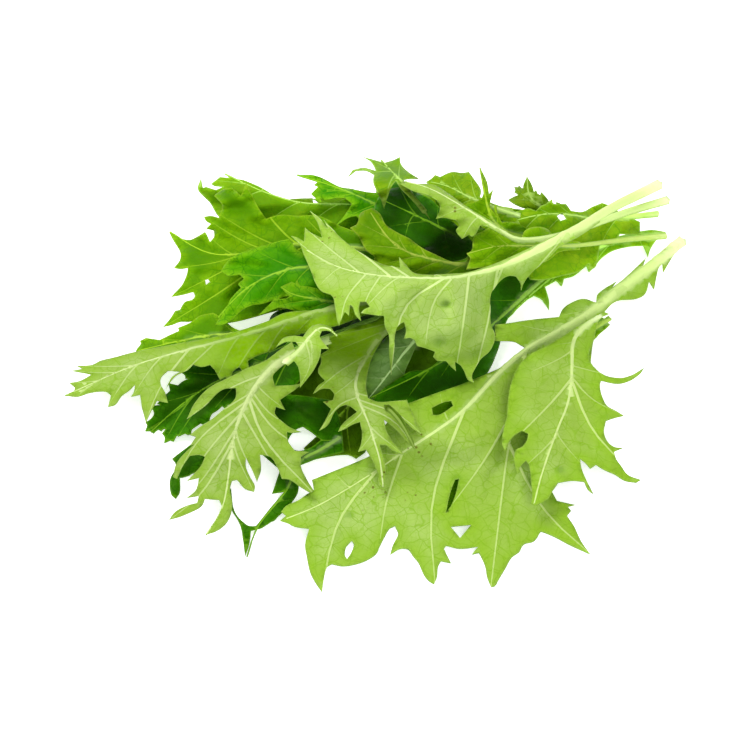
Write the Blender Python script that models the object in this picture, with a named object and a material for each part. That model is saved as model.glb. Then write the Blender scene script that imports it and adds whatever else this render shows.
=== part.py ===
"""A bunch of loose mizuna leaves lying on a table.

The stalks come together at the back right. The blades fan out to the left and to the front. Each leaf, with
its stalk, midrib and lobed blade, is one closed solid.

Leaf points are read on a square grid laid over the bunch as it is seen from the front, half way between level
and straight down. A point is (across, down, height): the first two in grid steps, the height in millimetres
over the table. The leaves are listed from the lowest to the highest, and each is lifted until it clears those
under it.
"""

import math

import bpy
import numpy as np
from mathutils.geometry import delaunay_2d_cdt

MM = 0.001
GRID_MIDDLE = 375.0
GRID_STEP = 0.4094  # mm of one grid step at the middle of the table
EYE_DISTANCE = 725.0  # mm from the middle of the table to the eye
EYE_LEVEL = EYE_DISTANCE * math.sin(math.radians(45.0))
EYE = np.array([0.0, -EYE_LEVEL, EYE_LEVEL])

BLADE_THICKNESS = 0.8
EDGE_THICKNESS = 0.66
CELL = 7.5  # mm between the points of a blade
COARSE_CELL = 10.0  # mm, on the leaves that are mostly covered
ROW_STEP = math.sqrt(0.75)  # distance between the rows of a blade's points, in cells
SHORTEST_EDGE = 1.5
SMALLEST_BEND = 0.12  # mm by which a margin's point must stand off its neighbours to stay
SMALLEST_HOLE = 6.0  # mm2
POINT_STEP = 3.0  # grid steps between the points of a midrib or vein
ROOT_REACH = 14.0  # grid steps; a vein rooted nearer than this to the midrib starts on it
LOBE_WIDTHS = (4.0, 17.0)  # grid steps, least and greatest half width of a lobe's band
TIP_WIDTHS = (4.0, 15.0)
HEIGHT_SPREAD = 9.0  # mm2; a vein's height rules the blade about this far round it
RIPPLE_FREE = (9.0, 14.0)  # mm from a vein and from the midrib at which a ripple is full
RIPPLE_TURN = 1.7
STALK_FACING = 0.5  # slope across a bare stalk, which turns it to the eye
STALK_TAPER = 0.8
LEAF_GAP = 0.55  # mm kept free between two leaves along the line of sight
MAP_STEP = 1.25  # mm, pitch of the height map that the leaves are stacked on
MAP_HALF = np.array([170.0, 210.0])
MAP_SPILL = 0.6  # share by which a triangle is drawn past its edges on the height map
MOST_LIFTS = 8
LAST_LIFT = 0.05  # mm; a leaf that needs less than this is clear
LIFT_REACH = 9  # map cells over which a lift spreads beyond the place that needs it
RIPPLE_LENGTHS = (17.0, 27.0)  # mm, wave lengths of the blades' ripples
GROUND_BAND = 0.8  # mm; what would hang lower than this over the table lies flat on it
TIP_SHARE = 0.3  # share of the midrib that the end lobe takes up
LOBE_BREADTH = 0.3  # half width of a lobe's band as a share of its length
WEB_SHARE = 0.5  # share of the lobes' length up to which the blade joins them
RIB_STEP = 1.1  # points along the midrib, in cells
FOOT_OF_RIDGE = 1.35  # where the midrib's ridge meets the blade, in half widths from its middle
FLATNESS = 0.8  # 1 would make the stalk's sides meet in an edge
RIDGE_SHARE = 0.8  # share of the midrib's bulk on the face that looks up
BLADE_START = 12.0  # how quickly a stalk turns into a midrib at the first lobe
BOX_MIDDLE = np.array([6.0, -1.3, 0.0])  # mm, middle of the bunch's footprint, which becomes the origin

SKIN_ROUGHNESS = 0.45
FINISHES = {
    "pale": (0.45, 0.66, 0.18),
    "front": (0.36, 0.58, 0.09),
    "mid": (0.22, 0.42, 0.04),
    "fresh": (0.25, 0.45, 0.01),
    "yellow": (0.33, 0.52, 0.03),
    "bright": (0.08, 0.35, 0.005),
    "dark": (0.02, 0.11, 0.004),
    "olive": (0.03, 0.07, 0.003),
    "grey": (0.10, 0.18, 0.08),
}


def on_table(points):
    """Where the line of sight through each grid point meets the table, in mm."""
    points = np.asarray(points, float)
    across = (points[:, 0] - GRID_MIDDLE) * GRID_STEP
    up = (GRID_MIDDLE - points[:, 1]) * GRID_STEP
    nearer = 1.0 - up / EYE_DISTANCE
    return np.stack([across / nearer, up * math.sqrt(2.0) / nearer], axis=1)


def lifted(flat, height):
    """The points over the table that hide the given table points from the eye, at these heights."""
    ground = np.column_stack([flat, np.zeros(len(flat))])
    return ground + (EYE - ground) * (height / EYE_LEVEL)[:, None]


def seen_on_table(points):
    """The table points that the given points hide from the eye."""
    share = EYE_LEVEL / (EYE_LEVEL - points[:, 2])
    return EYE[:2] + (points[:, :2] - EYE[:2]) * share[:, None]


def along(line, step):
    """Points at most a step apart along a line, with every value of the line's points carried along."""
    line = np.asarray(line, float)
    made = [line[:1]]
    for start, end in zip(line[:-1], line[1:]):
        count = max(1, math.ceil(np.linalg.norm((end - start)[:2]) / step))
        made.append(start + (end - start) * (np.arange(1, count + 1) / count)[:, None])
    return np.concatenate(made)


def rounded(line, turns=2):
    """The line with its corners cut, ends kept."""
    line = np.asarray(line, float)
    for _ in range(turns):
        first = line[:-1] * 0.75 + line[1:] * 0.25
        second = line[:-1] * 0.25 + line[1:] * 0.75
        inner = np.stack([first, second], axis=1).reshape(-1, line.shape[1])
        line = np.concatenate([line[:1], inner[1:-1], line[-1:]])
    return line


def run_of(line):
    """Share of the line's length passed at each of its points."""
    steps = np.linalg.norm(np.diff(line[:, :2], axis=0), axis=1)
    passed = np.concatenate([[0.0], np.cumsum(steps)])
    return passed / passed[-1]


def at_share(line, share):
    """The line's values at these shares of its length."""
    run = run_of(line)
    return np.stack([np.interp(share, run, line[:, i]) for i in range(line.shape[1])], axis=-1)


def nearest(points, line):
    """Distance to the nearest point of a densely sampled line, and that point's index."""
    gaps = np.linalg.norm(points[:, None, :2] - line[None, :, :2], axis=2)
    index = gaps.argmin(axis=1)
    return gaps[np.arange(len(points)), index], index


def strip(line, half_widths):
    """Outline of a band along the line, as wide on each side as said."""
    slope = np.gradient(line[:, :2], axis=0)
    side = np.stack([-slope[:, 1], slope[:, 0]], axis=1)
    side /= np.linalg.norm(side, axis=1)[:, None] + 1e-9
    left = line[:, :2] + side * half_widths[:, None]
    right = line[:, :2] - side * half_widths[:, None]
    return np.concatenate([left, right[::-1]])


# Share of a lobe's length, and its half width there, for a lobe with and one without teeth.
TOOTHED = [(0.0, 0.8), (0.2, 0.95), (0.4, 0.85), (0.5, 0.72), (0.66, 1.05), (0.68, 0.55), (0.8, 0.38),
           (0.9, 0.42), (0.91, 0.2), (1.0, 0.0)]
PLAIN = [(0.0, 0.9), (0.3, 1.0), (0.55, 0.8), (0.8, 0.42), (1.0, 0.0)]
TOOTH_LENGTH = 30.0  # grid steps, the length from which a lobe has teeth


def lobe_outline(line, half_width):
    length = np.linalg.norm(np.diff(line[:, :2], axis=0), axis=1).sum()
    shape = np.array(TOOTHED if length > TOOTH_LENGTH else PLAIN)
    return strip(at_share(line, shape[:, 0]), shape[:, 1] * half_width)


class Leaf:
    """One leaf: its lines in grid steps and millimetres of height, then its surface."""

    def __init__(self, name, finish, stalk, rib, lobes, edge=(), holes=(), ripple=1.0, cell=CELL):
        self.name = name
        self.finish = finish
        self.stalk = stalk
        self.cell = cell
        self.ripple = ripple
        self.holes = [np.asarray(hole, float) for hole in holes]
        self.rib = along(rounded(rib), POINT_STEP)
        self.veins = [self.vein_of(lobe) for lobe in lobes]
        self.first_root = min((run for run, _ in self.veins), default=0.5)
        self.polygons = [np.asarray(edge, float)] if edge else self.lobed_outline()
        self.polygons.append(strip(self.rib, np.maximum(self.half_stalk(), 0.8)))
        self.skeleton = self.heights_of_lines()

    def half_stalk(self):
        """Half the stalk's width along the midrib, in grid steps."""
        run = run_of(self.rib)
        return np.maximum(1.0 - run, 0.02) ** STALK_TAPER * self.stalk / 2.0 / GRID_STEP

    def vein_of(self, lobe):
        root_xy = np.array([lobe[:2]], float)
        _, index = nearest(root_xy, self.rib)
        foot = self.rib[index[0]]
        off = np.linalg.norm(foot[:2] - root_xy[0])
        start = foot if off < ROOT_REACH else np.array([lobe[0], lobe[1], foot[2]])
        tip = np.array(lobe[2:5], float)
        points = [start, tip]
        if len(lobe) > 5:
            points.insert(1, np.array([lobe[5], lobe[6], (start[2] + tip[2]) / 2.0]))
        return run_of(self.rib)[index[0]], along(rounded(points), POINT_STEP)

    def lobed_outline(self):
        """A band for every lobe and for the tip, and webs between neighbours on one side."""
        end = self.rib[run_of(self.rib) >= 1.0 - TIP_SHARE]
        polygons = []
        sides = {1: [], -1: []}
        for run, line in self.veins:
            length = np.linalg.norm(line[-1, :2] - line[0, :2])
            polygons.append(lobe_outline(line, float(np.clip(LOBE_BREADTH * length, *LOBE_WIDTHS))))
            spot = at_share(self.rib, run)
            ahead = at_share(self.rib, min(run + 0.03, 1.0)) - at_share(self.rib, max(run - 0.03, 0.0))
            away = line[-1] - spot
            side = 1 if ahead[0] * away[1] - ahead[1] * away[0] > 0 else -1
            sides[side].append((run, line))
        length = np.linalg.norm(end[-1, :2] - end[0, :2])
        polygons.append(lobe_outline(end, float(np.clip(LOBE_BREADTH * length, *TIP_WIDTHS))))
        for rows in sides.values():
            rows.sort(key=lambda row: row[0])
            lines = [row[1] for row in rows] + [end]
            for one, two in zip(lines[:-1], lines[1:]):
                a, b = at_share(one, WEB_SHARE), at_share(two, WEB_SHARE)
                polygons.append(np.array([one[0, :2], a[:2], b[:2]]))
                polygons.append(np.array([one[0, :2], b[:2], two[0, :2]]))
        return polygons

    def heights_of_lines(self):
        """Points along midrib and veins: two on the table, then the height over it."""
        lines = np.concatenate([self.rib] + [line for _, line in self.veins])
        return np.column_stack([on_table(lines), lines[:, 2]])

    def height(self, flat):
        """Height of the leaf's middle surface where the table points are hidden by it."""
        gap, _ = nearest(flat, self.skeleton)
        square = ((flat[:, None, :] - self.skeleton[None, :, :2]) ** 2).sum(axis=2)
        weight = 1.0 / (square + HEIGHT_SPREAD) ** 2
        height = (weight * self.skeleton[:, 2]).sum(axis=1) / weight.sum(axis=1)
        seed = sum(ord(letter) for letter in self.name)
        wave = np.zeros(len(flat))
        for turn, length in enumerate(RIPPLE_LENGTHS):
            angle = seed * (1.0 + turn) * RIPPLE_TURN
            phase = (flat[:, 0] * math.cos(angle) + flat[:, 1] * math.sin(angle)) * 2.0 * math.pi / length
            wave += np.sin(phase + seed)
        rib = on_table(self.rib)
        from_rib, index = nearest(flat, rib)
        bare = np.clip((self.first_root - run_of(self.rib)[index]) * BLADE_START, 0.0, 1.0)
        towards_eye = (flat[:, 1] - rib[index, 1]) * STALK_FACING * bare
        free = np.clip(gap / RIPPLE_FREE[0], 0.0, 1.0) * np.clip(from_rib / RIPPLE_FREE[1], 0.0, 1.0)
        return height + towards_eye + self.ripple * wave * free

    def thickness(self, flat):
        """What the stalk or midrib adds to the blade's thickness, and how bare of blade it is there."""
        rib = on_table(self.rib)
        gap, index = nearest(flat, rib)
        run = run_of(self.rib)[index]
        width = self.half_stalk()[index] * GRID_STEP * 2.0
        slope = np.gradient(rib, axis=0)[index]
        across = np.abs(slope[:, 0]) / np.linalg.norm(slope, axis=1)
        half = width / 2.0 * (1.0 + (math.sqrt(2.0) - 1.0) * across)
        part = np.clip(gap / half, 0.0, 1.0)
        bulk = np.where(gap <= half * 1.05, width * np.sqrt(1.0 - FLATNESS * part**2), 0.0)
        bare = np.clip((self.first_root - run) * BLADE_START + 0.5, 0.0, 1.0)
        return np.maximum(bulk - BLADE_THICKNESS, 0.0), bare


def outer_loops(polygons):
    """Loops of points round the shape that the polygons cover together, mm on the table."""
    points, faces = [], []
    for flat in polygons:
        turn = np.sum(flat[:, 0] * np.roll(flat[:, 1], -1) - flat[:, 1] * np.roll(flat[:, 0], -1))
        flat = flat if turn > 0 else flat[::-1]
        faces.append(list(range(len(points), len(points) + len(flat))))
        points += [tuple(spot) for spot in flat]
    made = delaunay_2d_cdt(points, [], faces, 1, 1e-4)
    spots = np.array([tuple(spot) for spot in made[0]])
    triangles = [tuple(face) for face in made[2]]
    while True:
        leaving = {}
        for a, b, c in triangles:
            for edge in ((a, b), (b, c), (c, a)):
                leaving[edge] = True
        rim = [edge for edge in leaving if (edge[1], edge[0]) not in leaving]
        starts = {}
        for a, b in rim:
            starts.setdefault(a, []).append(b)
        pinched = [a for a, ends in starts.items() if len(ends) > 1]
        if not pinched:
            break
        triangles = without_small_fans(spots, triangles, pinched[0])
    loops = []
    while starts:
        first = next(iter(starts))
        loop = [first]
        spot = starts.pop(first)[0]
        while spot != first:
            loop.append(spot)
            spot = starts.pop(spot)[0]
        loops.append(spots[loop])
    return loops


def without_small_fans(spots, triangles, corner):
    """The triangles without those round a pinched corner, save the largest fan there."""
    around = [face for face in triangles if corner in face]
    fans = []
    for face in around:
        ends = set(face) - {corner}
        touching = [fan for fan in fans if fan[0] & ends]
        joined = (set(ends), [face])
        for fan in touching:
            joined[0].update(fan[0])
            joined[1].extend(fan[1])
            fans.remove(fan)
        fans.append(joined)

    def area(fan):
        total = 0.0
        for a, b, c in fan[1]:
            one, two = spots[b] - spots[a], spots[c] - spots[a]
            total += abs(one[0] * two[1] - one[1] * two[0])
        return total

    fans.sort(key=area)
    dropped = {face for fan in fans[:-1] for face in fan[1]}
    return [face for face in triangles if face not in dropped]


def area_of(loop):
    ahead = np.roll(loop, -1, axis=0)
    return 0.5 * np.sum(loop[:, 0] * ahead[:, 1] - loop[:, 1] * ahead[:, 0])


def thinned(loop, cell):
    """The loop without points that crowd, and with points added on its long edges."""
    points = [tuple(spot) for spot in loop]
    while len(points) > 6:
        ring = np.array(points)
        ahead = np.linalg.norm(np.roll(ring, -1, axis=0) - ring, axis=1)
        behind = np.roll(ahead, 1)
        one = ring - np.roll(ring, 1, axis=0)
        two = np.roll(ring, -1, axis=0) - ring
        turn = np.abs(one[:, 0] * two[:, 1] - one[:, 1] * two[:, 0]) / (ahead * behind + 1e-9)
        off = turn * np.minimum(ahead, behind)
        crowded = (np.minimum(ahead, behind) < SHORTEST_EDGE) | (off < SMALLEST_BEND)
        if not crowded.any():
            break
        points.pop(int(np.where(crowded, off, np.inf).argmin()))
    ring = np.array(points + points[:1])
    return along(ring, cell)[:-1]


def inside(points, loops):
    """Which points lie within the shape that the loops bound."""
    found = np.zeros(len(points), bool)
    for loop in loops:
        for start, end in zip(loop, np.roll(loop, -1, axis=0)):
            spans = (start[1] > points[:, 1]) != (end[1] > points[:, 1])
            if not spans.any():
                continue
            reach = (points[:, 1] - start[1]) / (end[1] - start[1] + 1e-12)
            found ^= spans & (points[:, 0] < start[0] + reach * (end[0] - start[0]))
    return found


def flat_mesh(leaf):
    """Points and triangles of the leaf's shape as laid on the table."""
    loops = outer_loops([on_table(polygon) for polygon in leaf.polygons])
    loops.sort(key=lambda loop: -abs(area_of(loop)))
    holes = [loop for loop in loops[1:] if area_of(loop) < -SMALLEST_HOLE]
    holes += [on_table(hole) for hole in leaf.holes]
    loops = [thinned(loop, leaf.cell) for loop in [loops[0]] + holes]
    rim = np.concatenate(loops)
    edges = []
    first = 0
    for loop in loops:
        count = len(loop)
        edges += [(first + i, first + (i + 1) % count) for i in range(count)]
        first += count
    rib_line = np.column_stack([on_table(leaf.rib), leaf.half_stalk() * GRID_STEP])
    length = np.linalg.norm(np.diff(rib_line[:, :2], axis=0), axis=1).sum()
    centre = at_share(rib_line, np.linspace(0.02, 0.97, max(4, round(length / leaf.cell / RIB_STEP))))
    both = strip(centre, centre[:, 2] * FOOT_OF_RIDGE)
    low, high = rim.min(axis=0), rim.max(axis=0)
    grid = []
    row_step = leaf.cell * ROW_STEP
    for row in range(int((high[1] - low[1]) / row_step) + 1):
        shift = leaf.cell * 0.5 * (row % 2)
        for column in range(int((high[0] - low[0]) / leaf.cell) + 1):
            grid.append((low[0] + shift + column * leaf.cell, low[1] + row * row_step))
    rim_line = np.concatenate([along(np.concatenate([loop, loop[:1]]), 1.5) for loop in loops])
    chosen = np.empty((0, 2))
    for points, from_rim, apart in ((centre[:, :2], 0.5, 0.8), (both, 0.9, 1.1),
                                    (np.array(grid), leaf.cell * 0.45, leaf.cell * 0.55)):
        points = points[inside(points, loops)]
        for point in points:
            if np.linalg.norm(rim_line - point, axis=1).min() < from_rim:
                continue
            if len(chosen) and np.linalg.norm(chosen - point, axis=1).min() < apart:
                continue
            chosen = np.vstack([chosen, point])
    points = np.concatenate([rim, chosen])
    made = delaunay_2d_cdt([tuple(point) for point in points], edges, [], 0, 1e-5)
    spots = np.array([tuple(spot) for spot in made[0]])
    if len(spots) != len(points):
        raise ValueError(leaf.name + ": lines of the leaf cross")
    triangles = np.array([tuple(face) for face in made[2]])
    keep = inside(spots[triangles].mean(axis=1), loops)
    return points, triangles[keep]


def normals_of(points, triangles):
    one = points[triangles[:, 1]] - points[triangles[:, 0]]
    two = points[triangles[:, 2]] - points[triangles[:, 0]]
    cross = np.cross(one, two)
    normals = np.zeros_like(points)
    for corner in range(3):
        np.add.at(normals, triangles[:, corner], cross)
    return normals / (np.linalg.norm(normals, axis=1)[:, None] + 1e-12)


def both_faces(leaf, flat, triangles, height):
    """The leaf's upper and lower face, point for point."""
    bulk, bare = leaf.thickness(flat)
    middle = lifted(flat, height)
    normals = normals_of(middle, triangles)
    rim = np.zeros(len(flat), bool)
    used = {}
    for a, b, c in triangles:
        for edge in ((a, b), (b, c), (c, a)):
            used[edge] = True
    for a, b in used:
        if (b, a) not in used:
            rim[[a, b]] = True
    blade = np.where(rim, EDGE_THICKNESS, BLADE_THICKNESS)
    share = 0.5 * bare + RIDGE_SHARE * (1.0 - bare)
    upper = middle + normals * (blade / 2.0 + bulk * share)[:, None]
    lower = middle - normals * (blade / 2.0 + bulk * (1.0 - share))[:, None]
    lower[:, 2] = np.where(lower[:, 2] < GROUND_BAND, 0.0, lower[:, 2])
    upper[:, 2] = np.maximum(upper[:, 2], lower[:, 2] + EDGE_THICKNESS)
    return upper, lower


class HeightMap:
    """The highest leaf so far over each table point, along the line of sight."""

    def __init__(self):
        self.size = (2 * MAP_HALF / MAP_STEP).astype(int) + 1
        self.top = np.full(self.size, -np.inf)

    def cells(self, flat):
        return (flat + MAP_HALF) / MAP_STEP

    def draw(self, points, triangles, sign):
        """Largest of sign x height of the surface in each cell it covers."""
        spots = self.cells(seen_on_table(points))
        drawn = np.full(self.size, -np.inf)
        for face in triangles:
            corners, heights = spots[face], points[face, 2] * sign
            low = np.floor(corners.min(axis=0)).astype(int)
            high = np.ceil(corners.max(axis=0)).astype(int) + 1
            x, y = np.meshgrid(np.arange(low[0], high[0]), np.arange(low[1], high[1]), indexing="ij")
            (ax, ay), (bx, by), (cx, cy) = corners
            whole = (bx - ax) * (cy - ay) - (by - ay) * (cx - ax)
            if abs(whole) < 1e-9:
                continue
            second = ((x - ax) * (cy - ay) - (y - ay) * (cx - ax)) / whole
            third = ((bx - ax) * (y - ay) - (by - ay) * (x - ax)) / whole
            near = (second > -MAP_SPILL) & (third > -MAP_SPILL) & (second + third < 1.0 + MAP_SPILL)
            second, third = np.clip(second, 0.0, 1.0), np.clip(third, 0.0, 1.0)
            value = heights[0] + second * (heights[1] - heights[0]) + third * (heights[2] - heights[0])
            value = np.minimum(value, heights.max())
            reach = np.hypot(x - corners[:, 0].mean(), y - corners[:, 1].mean())
            limit = np.hypot(*(corners - corners.mean(axis=0)).T).max() + 0.8
            patch = drawn[low[0]:high[0], low[1]:high[1]]
            np.maximum(patch, np.where(near & (reach < limit), value, -np.inf), out=patch)
        return widened(drawn, 1)

    def sample(self, field, flat):
        spot = self.cells(flat)
        low = np.floor(spot).astype(int)
        part = spot - low
        x, y = low[:, 0], low[:, 1]
        near = field[x, y] * (1 - part[:, 1]) + field[x, y + 1] * part[:, 1]
        far = field[x + 1, y] * (1 - part[:, 1]) + field[x + 1, y + 1] * part[:, 1]
        return near * (1 - part[:, 0]) + far * part[:, 0]


def widened(field, cells):
    """Each cell takes the largest value within this many cells of it."""
    for axis in (0, 1):
        best = field
        for shift in range(-cells, cells + 1):
            best = np.maximum(best, np.roll(field, shift, axis=axis))
        field = best
    return field


def softened(field, cells):
    """Each cell takes the mean of those within this many cells of it."""
    for axis in (0, 1):
        total = sum(np.roll(field, shift, axis=axis) for shift in range(-cells, cells + 1))
        field = total / (2 * cells + 1)
    return field


def lift_over(need):
    """A smooth lift that is nowhere less than what is needed."""
    return softened(softened(widened(np.maximum(need, 0.0), LIFT_REACH), LIFT_REACH // 2), LIFT_REACH // 2)


def stacked(leaf, flat, triangles, heap):
    """The leaf's faces once it clears everything under it."""
    height = np.maximum(leaf.height(flat), BLADE_THICKNESS / 2.0)
    for _ in range(MOST_LIFTS):
        upper, lower = both_faces(leaf, flat, triangles, height)
        under = -heap.draw(lower, triangles, -1.0)
        need = np.where(np.isfinite(under) & np.isfinite(heap.top), heap.top + LEAF_GAP - under, 0.0)
        if need.max() <= LAST_LIFT:
            break
        height = height + heap.sample(lift_over(need), flat)
    heap.top = np.maximum(heap.top, heap.draw(upper, triangles, 1.0))
    return upper, lower


def skin(leaf):
    """The leaf's own material, in the colour of its finish."""
    material = bpy.data.materials.new(leaf.name + "_skin")
    material.use_nodes = True
    shader = material.node_tree.nodes["Principled BSDF"]
    shader.inputs["Base Color"].default_value = (*FINISHES[leaf.finish], 1.0)
    shader.inputs["Roughness"].default_value = SKIN_ROUGHNESS
    shader.inputs["Metallic"].default_value = 0.0
    return material


def solid_object(leaf, upper, lower, triangles):
    """A closed mesh from the two faces and the wall round their rim."""
    count = len(upper)
    used = {}
    faces = []
    for a, b, c in triangles:
        faces.append((a, b, c))
        faces.append((c + count, b + count, a + count))
        for edge in ((a, b), (b, c), (c, a)):
            used[edge] = True
    for a, b in used:
        if (b, a) not in used:
            faces.append((b, a, a + count))
            faces.append((b, a + count, b + count))
    mesh = bpy.data.meshes.new(leaf.name)
    points = (np.concatenate([upper, lower]) - BOX_MIDDLE) * MM
    mesh.from_pydata([tuple(point) for point in points], [], [tuple(int(i) for i in face) for face in faces])
    mesh.materials.append(skin(leaf))
    obj = bpy.data.objects.new(leaf.name, mesh)
    bpy.context.scene.collection.objects.link(obj)


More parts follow.
